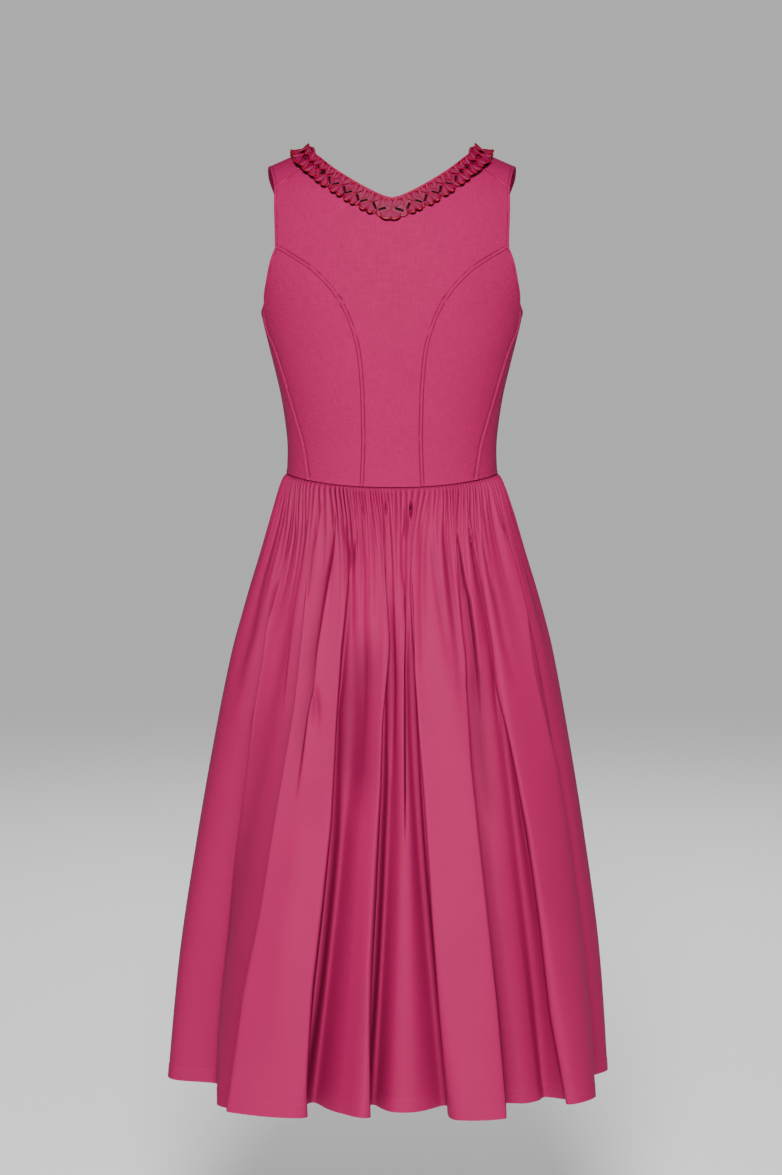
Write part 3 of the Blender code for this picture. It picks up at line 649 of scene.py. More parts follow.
def distance(points, spots):
    """How far points are from a line over the body."""
    line = torso(run_along(spots, np.linspace(0, 1, 240)))
    flat = points.reshape(-1, 3)
    far = np.full(len(flat), 1.0)
    for a, b in zip(line[:-1], line[1:]):
        way = b - a
        share = np.clip(((flat - a) @ way) / (way @ way), 0, 1)
        far = np.minimum(far, np.linalg.norm(flat - a - share[:, None] * way, axis=1))
    return far.reshape(points.shape[:2])


def welt(d, height, width):
    """A piped-up seam: a groove at the seam, a round welt, and a fine stitched line."""
    d = d / width
    round_top = np.where(d < 1, np.sqrt(np.clip(1 - (2 * d - 1) ** 2, 0, 1)), 0) ** WELT_ROUND
    stitches = WELT_STITCH_GROOVE * bell(d - WELT_STITCH_AT, GROOVE_WIDTH)
    return height * round_top - WELT_GROOVE * bell(d, GROOVE_WIDTH) - stitches


def turned_edge(d):
    """An edge that is turned in: a low step, rounded at the edge, and a stitched line."""
    height, width = EDGE_TURN
    start, reach = EDGE_STEP
    step = height * (1 - smooth((d / width - start) / reach))
    step = step * (1 - EDGE_SUNK * bell(d, EDGE_ROUND))
    return step - STITCH_GROOVE * bell(d - EDGE_STITCH_AT * width, STITCH_WIDTH)


def waist_edge(points):
    """The bodice's turned lower edge, which stands out over the gathers."""
    height, width = WAIST_TURN
    steps = np.linalg.norm(np.diff(points, axis=0, prepend=points[:1]), axis=2)
    return height * (1 - smooth(np.cumsum(steps, axis=0) / width))


def cloth_places(spots):
    """Places in the cloth in metres, for its weave."""
    return np.stack((np.radians(spots[..., 0]) * BODY_RADIUS, spots[..., 1]), -1)


def mirrored(spots):
    return spots * (-1, 1)


def panel(name, spots, relief, material):
    """A bodice panel, with a relief on its outer face."""
    points, normals = torso(spots), outward(spots)
    relief = relief + waist_edge(points)
    outer = drawn_back(points) + normals * relief[..., None]
    inner = drawn_back((points - BODICE_WALL * normals)[:, ::2])
    uvs = cloth_places(spots)
    made = shell(outer, inner, uvs, uvs[:, ::2])
    piece = as_piece(name, *made, [material], "bodice_cloth", [name])
    # painted shade in the grooves of the seams and stitches
    shade(piece, SEAM_SHADE * np.clip(-relief / STITCH_GROOVE, 0, 1), inner)


def pair_of_panels(name, spots, relief, material):
    panel(name + "_left", spots, relief, material)
    panel(name + "_right", mirrored(spots), relief, material)


def back_centre(material):
    below = row_shares(length=0.27, count=130, high=False) * BACK_SEAM_SHARE
    above = row_shares(length=0.07, count=40, low=False)[1:] * (1 - BACK_SEAM_SHARE)
    v = np.concatenate((below, BACK_SEAM_SHARE + above))
    k = np.linspace(0, 1, 201)
    princess, armhole = LINES["back_princess"], LINES["back_armhole_high"]
    side = joined_run(princess, armhole, BACK_SEAM_SHARE, v)
    bottom = run_along(waist_run(0.0, waist_angle(BACK_PRINCESS_WAIST_X), True), k)
    top = joined_run(LINES["neck_back"], LINES["shoulder"][::-1], BACK_NECK_SHARE, k)
    middle = run_along(np.stack((bottom[0], top[0])), v)
    spots = regrid(patch(bottom, top, middle, side, v), 61, close_left=False)
    points = torso(spots)
    relief = welt(distance(points, princess), *PRINCESS_WELT)
    relief += turned_edge(distance(points, armhole))
    relief += turned_edge(distance(points, LINES["neck_back"]))
    relief += welt(distance(points, LINES["shoulder"]), *SHOULDER_WELT)
    spots = np.concatenate((mirrored(spots[:, :0:-1]), spots), axis=1)
    relief = np.concatenate((relief[:, :0:-1], relief), axis=1)
    panel("back_centre", spots, relief, material)


def back_side(material):
    v, k = row_shares(length=0.27, count=140), np.linspace(0, 1, 121)
    left, right = run_along(LINES["back_princess"], v), run_along(LINES["side"], v)
    angles = [waist_angle(x) for x in (BACK_PRINCESS_WAIST_X, SIDE_SEAM_WAIST_X)]
    bottom = run_along(waist_run(*angles, True), k)
    top = run_along(LINES["back_armhole_low"][::-1], k)
    spots = regrid(patch(bottom, top, left, right, v), 71)
    points = torso(spots)
    armhole = distance(points, LINES["back_armhole_low"])
    relief = welt(distance(points, LINES["side"]), *SIDE_WELT) * smooth(armhole / SIDE_WELT_START)
    relief += turned_edge(armhole)
    relief -= STITCH_GROOVE * bell(distance(points, LINES["back_princess"]), EDGE_ROUND)
    pair_of_panels("back_side", spots, relief, material)


def front_side(material):
    v, k = row_shares(length=0.26, count=120), np.linspace(0, 1, 121)
    left, right = run_along(LINES["side_front"], v), run_along(LINES["front_princess"], v)
    side_angle = 180 - waist_angle(SIDE_SEAM_WAIST_X)
    bottom = run_along(waist_run(side_angle, waist_angle(FRONT_PRINCESS_WAIST_X), False), k)
    top = run_along(LINES["front_armhole_low"][::-1], k)
    spots = regrid(patch(bottom, top, left, right, v), 81)
    relief = turned_edge(distance(torso(spots), LINES["front_armhole_low"]))
    pair_of_panels("front_side", spots, relief, material)


def front_centre(material):
    v, k = row_shares(length=0.42, count=180), np.linspace(0, 1, 121)
    princess, armhole = LINES["front_princess"], LINES["front_armhole_high"]
    closing, neck = LINES["centre_front"], LINES["neck_front"]
    outer_side = joined_run(princess, armhole[::-1], FRONT_SEAM_SHARE, v)
    inner_side = joined_run(closing, neck[::-1], CLOSING_SHARE, v)
    bottom = run_along(waist_run(0.0, waist_angle(FRONT_PRINCESS_WAIST_X), False), k)
    top = run_along(LINES["shoulder"][::-1], k)
    spots = regrid(patch(bottom, top, inner_side, outer_side, v), 71)
    points = torso(spots)
    relief = welt(distance(points, princess), *PRINCESS_WELT)
    relief += sum(turned_edge(distance(points, edge)) for edge in (armhole, neck, closing))
    pair_of_panels("front_centre", spots, relief, material)


def front_underlap(material):
    """The strip behind the closing, just inside the two fronts."""
    heights = run_along(LINES["centre_front"], np.linspace(0, 1, 60))[:, 1]
    low, high = heights[0], heights[-1]
    heights = np.interp(heights, (low, high), (low + UNDERLAP_END, high - UNDERLAP_END))
    half_width = through(TORSO[:, 0], TORSO[:, 1:], CHEST_LEVEL + np.minimum(heights, 0))[:, 0]
    reach = np.degrees(np.arcsin((UNDERLAP_HALF_WIDTH / half_width) ** (ROUNDNESS / 2)))
    angles = signed_power(np.linspace(-1, 1, 21), ROUNDNESS / 2) * reach[:, None]
    spots = np.stack((angles, np.broadcast_to(heights[:, None], angles.shape)), -1)
    depth = BODICE_WALL + LAID_GAP
    normals = outward(spots)
    outer = torso(spots) - depth * normals
    inner = (torso(spots) - (depth + UNDERLAP_WALL) * normals)[:, ::2]
    uvs = cloth_places(spots)
    made = shell(outer, inner, uvs, uvs[:, ::2])
    piece = as_piece("front_underlap", *made, [material], "bodice_cloth", ["front_underlap"])
# ---------------------------------------------------------------- neck ribbon


def walk(spots, ways, far):
    """The places reached by going straight over the body for a distance."""
    turn, climb = np.array((TURN_STEP, 0)), np.array((0, CLIMB_STEP))
    steps = 6
    for _ in range(steps):
        across = (torso(spots + turn) - torso(spots - turn)) / (2 * TURN_STEP)
        along = (torso(spots + climb) - torso(spots - climb)) / (2 * CLIMB_STEP)
        want = ways * np.asarray(far)[..., None] / steps
        aa, ac, cc = (across**2).sum(-1), (across * along).sum(-1), (along**2).sum(-1)
        wa, wc = (want * across).sum(-1), (want * along).sum(-1)
        det = aa * cc - ac**2
        spots = spots + np.stack(((wa * cc - wc * ac) / det, (wc * aa - wa * ac) / det), -1)
    return spots


class RibbonPath:
    """The neck edge from the centre front round the back, as (along, across, up) places."""

    def __init__(self):
        right = mirrored(LINES["neck"][:0:-1])
        spots = np.concatenate((right, LINES["neck"]))
        self.fine = run_along(spots, np.linspace(0, 1, 900))
        points = torso(self.fine)
        self.length = lengths(points)
        ahead = np.gradient(points, axis=0)
        ahead[0] = ahead[-1] = (-1, 0, 0)
        self.away = unit(np.cross(outward(self.fine), ahead))

    def points(self, along, across, up):
        """Points at distances along the neck, away from its edge and up from the cloth."""
        along, across, up = np.broadcast_arrays(along, across, up)
        spots = np.stack([np.interp(along, self.length, self.fine[:, k]) for k in range(2)], -1)
        ways = np.stack([np.interp(along, self.length, self.away[:, k]) for k in range(3)], -1)
        spots = walk(spots, unit(ways), across)
        return torso(spots) + outward(spots) * up[..., None]


class Ribbon:
    """The pleated ribbon as one mesh, made of thin leaves and round rims over its path."""

    def __init__(self):
        self.path = RibbonPath()
        self.total = self.path.length[-1]
        # an odd number of pleats, so that one lies at the centre back
        self.count = int(self.total / RIBBON_PITCH) // 2 * 2 + 1
        self.pitch = self.total / self.count
        self.points, self.faces, self.uvs, self.slots = [], [], [], []
        self.filled = 0

    def add(self, points, faces, uvs, slot):
        self.points.append(points)
        self.faces.extend([[self.filled + k for k in face] for face in faces])
        self.uvs.append(uvs)
        self.slots.extend([slot] * len(faces))
        self.filled += len(points)

    def leaf(self, along, across, up, thick):
        """A thin piece of ribbon under a grid of places."""
        top = self.path.points(along, across, up)
        low = self.path.points(along, across, up - thick)
        uvs = np.stack((along, across), -1)
        self.add(*shell(top, low, uvs, uvs), CLOTH)

    def tube(self, along, across, up, radius, slot):
        """A round rim along a line of places."""
        line = self.path.points(along, across, up)
        ahead = unit(np.gradient(line, axis=0))
        raised = self.path.points(along, across, up + ABOVE) - line
        side = unit(np.cross(ahead, raised))
        over = np.cross(side, ahead)
        turns = np.linspace(0, 2 * math.pi, TUBE_SIDES + 1)[None, :-1, None]
        ring = np.cos(turns) * side[:, None] + np.sin(turns) * over[:, None]
        ring = line[:, None] + np.broadcast_to(radius, len(line))[:, None, None] * ring
        index = np.arange(len(line) * TUBE_SIDES).reshape(-1, TUBE_SIDES)
        closed = np.concatenate((index, index[:, :1]), axis=1)
        faces = quads(closed) + [index[0].tolist(), index[-1, ::-1].tolist()]
        self.add(ring.reshape(-1, 3), faces, np.zeros((index.size, 2)), slot)

    def ground(self):
        """The flat ribbon that shows between the pleats."""
        near, far = GROUND_MARGINS
        along = np.linspace(0, self.total, self.count * 6 + 1)[None, :]
        across = np.linspace(near, RIBBON_WIDTH - far, 5)[:, None]
        along, across = np.broadcast_arrays(along, across)
        self.leaf(along, across, np.full(along.shape, LAID_GAP + GROUND_LIFT), GROUND_THICK)

    def spread(self, at, across):
        """How much longer the ribbon is there than at the neck edge."""
        part = self.pitch / 4
        ends = self.path.points(at + np.array((-0.5, 0.5)) * part, across, 0.0)
        return np.linalg.norm(ends[1] - ends[0]) / part

    def fan(self, at, way, reach, wide, low, rise, radius, painted_dark):
        """One mouth of a pleat: two lobes that flare from the pinch, with a rounded rim."""
        s = np.linspace(0, 1, FAN_ROWS)[:, None]
        t = np.linspace(-1, 1, FAN_COLUMNS)[None, :]
        out = np.abs(t) * 2 - 1
        corner = np.sqrt(1 - np.clip(out, 0, 1) ** 2)
        outline = np.where(out > 0, CORNER_REACH + (1 - CORNER_REACH) * corner, 1 - CLEFT * out**2)
        half = self.pitch * (PINCH_WIDTH + (wide - PINCH_WIDTH) * s**FAN_FLARE)
        half = half / self.spread(at, RIBBON_PINCH + way * reach) ** (SPREAD_TAKEN * s)
        lobe = 1 - out**2
        raised = rise * s**FAN_SWELL * (1 - LOBE_RISE + LOBE_RISE * lobe)
        up = low + raised - FOLD_DIP * s * bell(t, FOLD_WIDTH)
        across = RIBBON_PINCH + way * reach * outline * s
        grid = np.array(np.broadcast_arrays(at + t * half, across, LAID_GAP + up))
        self.leaf(*grid, FAN_THICK)
        left, end, right = grid[:, :, 0], grid[:, -1], grid[:, :, -1]
        rim = np.concatenate((left, end[:, 1:], right[:, -2::-1]), axis=1)
        thick = np.full(rim.shape[1], RIBBON_RIM)
        thick[FAN_ROWS : FAN_ROWS + FAN_COLUMNS - 2] += (radius - RIBBON_RIM) * lobe[0, 1:-1]
        self.tube(*rim, thick, EDGE)
        # the middle fold, and black tubes as painted shadow
        if painted_dark:
            self.fold_and_shadows(grid, way)

    def fold_and_shadows(self, grid, way):
        """A mouth's middle fold, and black tubes beside and under it as painted shadow."""
        aside, back, height, radius = SIDE_SHADE
        for side, turn in ((grid[:, 1:-1, 0], -1), (grid[:, 1:-1, -1], 1)):
            along, across = side[0] + turn * aside, side[1] - way * back
            self.tube(along, across, LAID_GAP + height, radius, PAINTED_SHADOW)
        along, across, up = grid[:, :, FAN_COLUMNS // 2]
        self.tube(along, across, up + FOLD_RISE, FOLD_RIM, EDGE)
        beyond, height, radius = RIM_SHADE
        self.tube(grid[0, -1], grid[1, -1] + way * beyond, LAID_GAP + height, radius, PAINTED_SHADOW)

    def crowded(self, at):
        """How near a place is to the shoulder seams: 1 at them and 0 far away."""
        back = lengths(torso(run_along(LINES["neck_back"], np.linspace(0, 1, 100))))[-1]
        return max(bell(at - (self.total / 2 + way * back), BUNCH_REACH) for way in (-1, 1))

    def pleat(self, number):
        """A box pleat with its two mouths, and the lower mouths between it and the last one."""
        middle, before = (number + 0.5) * self.pitch, number * self.pitch
        lift = self.crowded(middle) * BUNCH_LIFT
        for way, reach, wide, low, rise, radius in TOP_FANS:
            at = middle + rng.normal(0, FAN_STRAY[0])
            wide = wide * rng.uniform(*FAN_WIDTHS)
            reach = reach * rng.uniform(*FAN_REACHES)
            self.fan(at, way, reach, wide, low + lift, rise, radius, painted_dark=way > 0)
        if number == 0:
            return
        lift = self.crowded(before)
        for way, reach, wide, low, rise, radius in UNDER_FANS:
            at = before + rng.normal(0, FAN_STRAY[1])
            low = low + lift * (BUNCH_LIFT + UNDER_LIFT)
            wide, rise = wide * (1 + UNDER_WIDER * lift), rise * (1 + lift)
            self.fan(at, way, reach, wide, low, rise, radius, painted_dark=lift > UNDER_SHADOWS_FROM)


def neck_ribbon(*materials):
    ribbon = Ribbon()
    ribbon.ground()
    for number in range(ribbon.count):
        ribbon.pleat(number)
    total, points, uvs = ribbon.total, np.concatenate(ribbon.points), np.concatenate(ribbon.uvs)
    slots = np.array(ribbon.slots, np.int32)
    piece = as_piece(
        "neck_ribbon", points, ribbon.faces, uvs, materials, "ribbon", ["neck_ribbon"], slots
    )
# ---------------------------------------------------------------- skirt


def skirt_size(down):
    half_width = through(SKIRT[:, 0], SKIRT[:, 1:], down * SKIRT_LENGTH)[..., 0]
    spread = (half_width - SKIRT[0, 1]) / (SKIRT[-1, 1] - SKIRT[0, 1])
    back, front = (
        depths[0] + (depths[1] - depths[0]) * spread
        for depths in (SKIRT_BACK_DEPTH, SKIRT_FRONT_DEPTH)
    )
    return half_width, back, front


def skirt_outline(angle, at, down):
    half_width, back, front = skirt_size(down)
    turn, power = np.radians(angle), 2 / (ROUNDNESS + (2 - ROUNDNESS) * down)
    x = half_width * at * signed_power(np.sin(turn), power)
    y = np.where(np.cos(turn) > 0, back, front) * at * signed_power(np.cos(turn), power)
    return np.stack((x, y), -1)


def skirt_angle(x, y, down):
    half_width, back, front = skirt_size(down)
    power = (ROUNDNESS + (2 - ROUNDNESS) * down) / 2
    depth = np.where(y > 0, back, front)
    return np.degrees(np.arctan2(signed_power(x / half_width, power), signed_power(y / depth, power)))


FOLD_LINES = np.array([line for fold in FOLDS for line in fold])


def fold_places():
    corners = skirt_outline(FOLD_LINES[:, 2], FOLD_LINES[:, 3], 1.0)
    steps = np.linalg.norm(np.roll(corners, -1, axis=0) - corners, axis=1)
    places = (np.cumsum(steps) - steps) / steps.sum() * 360
    return places + np.mean(180 - FOLD_LINES[:, 0] - places)


FOLD_PLACES = fold_places()


def skirt_ring(down, places):
    """Points of the middle of the cloth at one level."""
    weights = ((1 - down) * (1 - 2 * down), 4 * down * (1 - down), down * (2 * down - 1))
    gathered = EVEN_GATHERS * math.exp(-down / GATHERED_DROP)
    angles = FOLD_LINES[:, :3] @ np.array(weights)
    angles = angles + gathered * (180 - FOLD_PLACES - FOLD_LINES[:, 0])
    depths = 1 - (1 - FOLD_LINES[:, 3]) * down
    around = np.concatenate((FOLD_PLACES - 360, FOLD_PLACES, FOLD_PLACES + 360))
    corners = np.column_stack(
        (np.concatenate((angles + 360, angles, angles - 360)), np.tile(depths, 3))
    )
    angle, at = np.moveaxis(through(around, corners, places), -1, 0)
    x, y = np.moveaxis(skirt_outline(angle, at, down), -1, 0)
    top = WAIST_LEVEL - WAIST_GAP - waist_dip(skirt_angle(x, y, down))
    return np.stack((x, y, top + (HEM_LEVEL - top) * down), -1)


def mirrored_view(points):
    """Where points show in the photo's plane: mm to the left, and down from the waist.

    Those of the front count as their mirror image on the back.
    """
    x, y, z = np.moveaxis(points, -1, 0)
    tilt = math.radians(TILT)
    far = (EYE[1] - y) * math.cos(tilt) - z * math.sin(tilt)
    up = z * math.cos(tilt) + (EYE[1] - y) * math.sin(tilt)
    across, down = 1000 * (x * EYE[1] / far), 1000 * (WAIST_SHOWS - up * EYE[1] / far)
    return np.where(y > 0, across, -across), down


def skirt_rows():
    """How far down the rows of mesh lie, closer together at the waist and at the hem."""
    even = np.linspace(0, 1, 100)
    rows = SKIRT_LENGTH * (EVEN_ROWS * even + (1 - EVEN_ROWS) * even**2)
    return np.unique(np.concatenate((rows, SKIRT_LENGTH - HEM_ROWS)))


def skirt_columns(fine):
    """How many of the columns lie before each place, closer together at narrow creases."""
    spread = sum(weight * shares_along(skirt_ring(down, fine)) for down, weight in EVEN_COLUMNS)
    close = np.zeros(len(fine))
    for down in np.linspace(0.03, 0.93, 13):
        across, drop = mirrored_view(skirt_ring(down, fine))
        for kind, path in CREASES:
            at, drops, _, _ = np.array(path, float).T
            if kind in CREASE_FEET and drops[0] < drop[0] < drops[-1]:
                close += bell(across - np.interp(drop, drops, at), CLOSE_REACH)
    close = np.cumsum(close)
    return (spread + CLOSE_SHARE * close / close[-1]) / (1 + CLOSE_SHARE)


def skirt_middle(places, drops):
    """The middle of the cloth, row by row, and its outward direction."""
    beyond = np.concatenate(((places[0] - BEYOND,), places, (places[-1] + BEYOND,)))
    rings, outs = [], []
    for drop in drops:
        down = drop / SKIRT_LENGTH
        ring = skirt_ring(down, beyond)
        above = skirt_ring(max(down - DOWN_STEP, 0), beyond)
        below = skirt_ring(down + DOWN_STEP, beyond)
        out = unit(np.cross(np.gradient(ring, axis=0), above - below))
        rings.append(ring[1:-1])
        outs.append(out[1:-1])
    return np.array(rings), np.array(outs)


def skirt_relief(ring, waist, drops):
    """The relief on the outer face, and the painted shade in its hollows."""
    depth = np.abs(ring[..., 1])
    start, rise = TOWARDS_VIEW
    towards_view = smooth((depth / depth.max(axis=1, keepdims=True) - start) / rise)
    relief, painted_shade = (value * towards_view for value in creases(ring))
    folded, painted_dark = gathers(waist, drops, mirrored_view(ring)[0] * towards_view)
    tuck, tucked_to = SEAM_TUCK
    relief = relief + folded + hem_relief(drops) - tuck * (1 - smooth(drops / tucked_to))
    return relief, np.maximum(painted_shade, painted_dark)


def skirt_panel(name, first, last, count, material):
    fine = np.linspace(0, 360, 7201)
    columns, drops = skirt_columns(fine), skirt_rows()
    ends = np.interp((first, last), fine, columns)
    places = np.interp(np.linspace(*ends, count), columns, fine)
    places[0], places[-1] = first, last
    waist = np.interp(places, fine, lengths(skirt_ring(0.0, fine)))
    hem = np.interp(places, fine, lengths(skirt_ring(1.0, fine)))
    ring, out = skirt_middle(places, drops)
    relief, painted_shade = skirt_relief(ring, waist[None], drops[:, None])
    face = ring + out * (SKIRT_WALL / 2 + relief[..., None])
    inside = (ring - out * (SKIRT_WALL / 2 - INSIDE_FOLLOWS * relief[..., None]))[::2, ::2]
    draw_back_sides(face)
    draw_back_sides(inside)
    uvs = np.stack(np.broadcast_arrays(hem[None], drops[:, None]), -1)
    made = shell(face, inside, uvs, uvs[::2, ::2])
    piece = as_piece(name, *made, [material], "skirt_cloth", [name])
    shade(piece, painted_shade, inside)


# ---------------------------------------------------------------- creases and gathers
CREASES = [
    # kind, then its path's points: across and down as seen, and the crease's depth
    # and width there, all in mm
    # the folds that run from the waist down to the hem
    ("over_left", [
        (139, 135, 0, 5), (146, 170, 3, 7), (151, 212, 4, 9), (163, 275, 4, 11), (171, 352, 5, 14),
        (183, 436, 6, 17), (188, 494, 7, 19), (197, 594, 9, 22), (201, 707, 11, 22),
        (202, 750, 11, 22),
    ]),
    ("over_left", [
        (98, 100, 0, 5), (106, 184, 4, 8), (114, 252, 4, 10), (124, 314, 5, 12), (138, 403, 6, 15),
        (151, 494, 7, 18), (168, 586, 7, 20), (184, 723, 8, 20), (185, 750, 8, 20),
    ]),
    ("over_right", [
        (49, 95, 0, 4), (54, 150, 3, 6), (61, 228, 4, 8), (66, 307, 5, 11), (71, 390, 6, 14),
        (81, 485, 6, 16), (93, 586, 5, 16), (103, 718, 5, 16), (104, 750, 5, 16),
    ]),
    ("over_right", [
        (8, 94, 0, 4), (5, 140, 2.5, 5), (4, 180, 2.5, 6), (11, 275, 3, 9), (13, 352, 4, 12),
        (18, 441, 4, 14), (24, 555, 4, 14), (28, 720, 4, 14), (28, 750, 4, 14),
    ]),
    ("over_left", [
        (-24, 100, 0, 5), (-26, 165, 3, 6), (-27, 212, 5, 8), (-32, 290, 6, 10), (-37, 354, 6, 12),
        (-48, 505, 5, 14), (-58, 618, 4, 14), (-68, 720, 4, 14), (-69, 750, 4, 14),
    ]),
    ("over_right", [
        (-86, 170, 0, 4), (-89, 252, 3, 8), (-92, 322, 5, 10), (-101, 416, 6, 13),
        (-112, 518, 6, 16), (-121, 607, 6, 16), (-131, 727, 6, 16), (-132, 750, 6, 16),
    ]),
    ("over_left", [
        (-117, 182, 0, 5), (-126, 235, 3, 8), (-141, 314, 4, 11), (-157, 403, 5, 14),
        (-174, 518, 6, 17), (-187, 618, 6, 19), (-205, 718, 6, 20), (-206, 750, 6, 20),
    ]),
    ("over_right", [
        (-124, 37, 0, 4), (-133, 60, 2, 4), (-149, 118, 4, 6), (-159, 165, 5, 7), (-167, 212, 5, 8),
        (-180, 275, 5, 9), (-194, 337, 4, 10), (-212, 441, 3, 11), (-226, 530, 3, 12),
        (-233, 618, 3, 12), (-237, 750, 3, 12),
    ]),
    # the shorter ones, in the order seen from left to right
    ("groove", [
        (163, 100, 0, 5), (174, 150, 3, 6), (183, 197, 4, 7), (193, 235, 4, 7), (202, 275, 3, 7),
        (208, 340, 0, 8),
    ]),
    ("groove", [
        (151, 100, 0, 4), (161, 142, 3, 5), (167, 170, 3, 6), (176, 201, 3, 6), (191, 270, 0, 8),
    ]),
    ("over_left", [
        (119, 60, 0, 3), (127, 90, 2, 4), (136, 126, 4, 5), (142, 143, 4, 6), (150, 186, 3, 7),
        (161, 247, 2, 9), (169, 285, 0, 10),
    ]),
    ("slit", [(135, 108, 0, 1.5), (138, 122, 5, 2.2), (142, 141, 4, 2), (146, 158, 0, 1.5)]),
    ("groove", [(121, 10, 0, 2), (125, 40, 2, 3), (131, 80, 2, 4), (139, 120, 0, 4)]),
    ("groove", [
        (108, 20, 0, 2), (112, 50, 2.5, 3), (117, 85, 2.5, 4), (124, 125, 2, 6), (132, 190, 1.5, 8),
        (140, 260, 0, 9),
    ]),
    ("over_left", [
        (96, 16, 0, 3), (101, 50, 2.5, 4), (106, 90, 3, 5), (113, 140, 2.5, 7), (121, 200, 1.5, 9),
        (128, 260, 0, 9),
    ]),
    ("over_left", [
        (81, 14, 0, 3), (85, 41, 3, 4), (90, 70, 3.5, 5), (94, 104, 3, 6), (98, 130, 0, 6),
    ]),
    ("over_left", [
        (65, 25, 0, 3), (66, 50, 3, 5), (70, 80, 4, 6), (75, 104, 5, 8), (79, 129, 5, 8),
        (84, 165, 5, 9), (88, 189, 5, 10), (91, 228, 5, 10), (98, 267, 4, 11), (102, 300, 3, 12),
        (111, 370, 0, 12),
    ]),
    ("slit", [
        (66, 35, 0, 1.2), (69, 70, 3, 1.5), (75, 104, 4, 1.8), (81, 142, 3, 1.6), (88, 189, 2, 1.6),
        (91, 228, 0, 1.6),
    ]),
    ("groove", [(90, 225, 0, 3), (89, 240, 3, 4), (88, 259, 3, 5), (88, 290, 0, 5)]),
    ("slit", [(35, 15, 0, 1.2), (34, 24, 3, 1.4), (34, 36, 0, 1.2)]),
    ("groove", [(57, 25, 0, 3), (53, 48, 3, 4), (47, 80, 3, 4), (50, 110, 0, 4)]),
    ("groove", [(38, 30, 0, 3), (43, 60, 2.5, 3), (47, 84, 0, 3)]),
    ("slit", [
        (49, 95, 0, 1.2), (51, 118, 3, 1.6), (54, 150, 4, 1.8), (58, 189, 4, 1.8),
        (62, 259, 3, 1.8), (66, 307, 0, 1.6),
    ]),
    ("groove", [
        (30, 150, 0, 12), (34, 197, 4, 18), (44, 259, 6, 22), (45, 330, 4, 22), (46, 400, 0, 20),
    ]),
    ("slit", [(7, 14, 0, 1.2), (7, 24, 4, 1.6), (8, 32, 0, 1.2)]),
    ("groove", [
        (8, 36, 0, 2.5), (10, 70, 2.5, 3), (8, 94, 2.5, 3.5), (6, 129, 2, 4), (1, 173, 2.5, 4),
        (0, 212, 3, 5), (0, 244, 3, 5), (1, 300, 2, 5), (1, 345, 0, 5),
    ]),
    ("slit", [(-22, 12, 0, 1.2), (-22, 24, 5, 1.8), (-22, 36, 0, 1.2)]),
    ("groove", [
        (-16, 20, 0, 2), (-18, 38, 3, 2.5), (-13, 60, 1.5, 2.5), (-13, 94, 2, 3), (-17, 118, 2, 3),
        (-16, 150, 2, 3), (-15, 190, 0, 3),
    ]),
    ("over_right", [
        (-14, 110, 0, 3), (-16, 157, 3, 4), (-15, 205, 4, 6), (-15, 280, 4, 7), (-15, 354, 3, 8),
        (-15, 420, 0, 8),
    ]),
    ("groove", [
        (-37, 16, 0, 2.5), (-35, 66, 1.8, 3.5), (-35, 129, 1.5, 4), (-36, 189, 1, 4),
        (-36, 230, 0, 4),
    ]),
    ("groove", [
        (-43, 30, 0, 3), (-49, 84, 2, 4), (-55, 129, 2, 5), (-66, 189, 1.2, 6), (-72, 230, 0, 6),
    ]),
    ("groove", [
        (-59, 20, 0, 3), (-62, 60, 2.5, 4), (-67, 100, 3, 5), (-73, 150, 2.5, 6),
        (-81, 228, 1.5, 7), (-85, 280, 0, 7),
    ]),
    ("over_left", [
        (-72, 26, 0, 3), (-80, 75, 3, 5), (-84, 104, 4, 6), (-90, 129, 4, 7), (-96, 173, 4, 8),
        (-102, 215, 3, 9), (-106, 270, 0, 9),
    ]),
    ("groove", [
        (-98, 170, 0, 8), (-100, 230, 5, 11), (-104, 300, 5, 12), (-112, 370, 3, 12),
        (-118, 430, 0, 12),
    ]),
    ("over_left", [
        (-87, 30, 0, 3), (-93, 60, 3, 4), (-101, 94, 2.5, 5), (-112, 150, 2, 6), (-121, 212, 2, 7),
        (-128, 290, 0, 8),
    ]),
    ("groove", [
        (-101, 30, 0, 3), (-107, 70, 2, 3), (-114, 104, 2, 4), (-121, 129, 2, 5),
        (-131, 182, 1.5, 6), (-147, 240, 0, 7),
    ]),
    ("slit", [
        (-155, 130, 0, 1.5), (-160, 165, 5, 2.2), (-167, 212, 5, 2.2), (-177, 262, 2, 2),
        (-186, 307, 0, 2),
    ]),
    ("groove", [
        (-160, 110, 0, 4), (-169, 155, 3, 5), (-183, 228, 3, 6), (-199, 290, 2, 7),
        (-208, 350, 0, 8),
    ]),
    ("ridge", [
        (104, 380, 0, 16), (109, 429, 3, 18), (122, 530, 4, 20), (130, 607, 3, 20),
        (138, 680, 0, 20),
    ]),
]
OVER_STEP = 0.12  # width of the step where one fold lies over the next, in the crease's
OVER_FADES = (0.7, 1.2)  # how fast it fades on the upper and on the lower fold


def groove(d):
    return -bell(d)


def overlap(d):
    high, low = OVER_FADES
    return np.tanh(d / OVER_STEP) * np.exp(-np.abs(d) * np.where(d > 0, high, low))


CREASE_SHAPES = {
    "groove": groove,
    "slit": groove,
    "ridge": bell,
    # the cloth on the right lies over that on its left, and the other way round
    "over_left": lambda d: overlap(-d),
    "over_right": overlap,
}
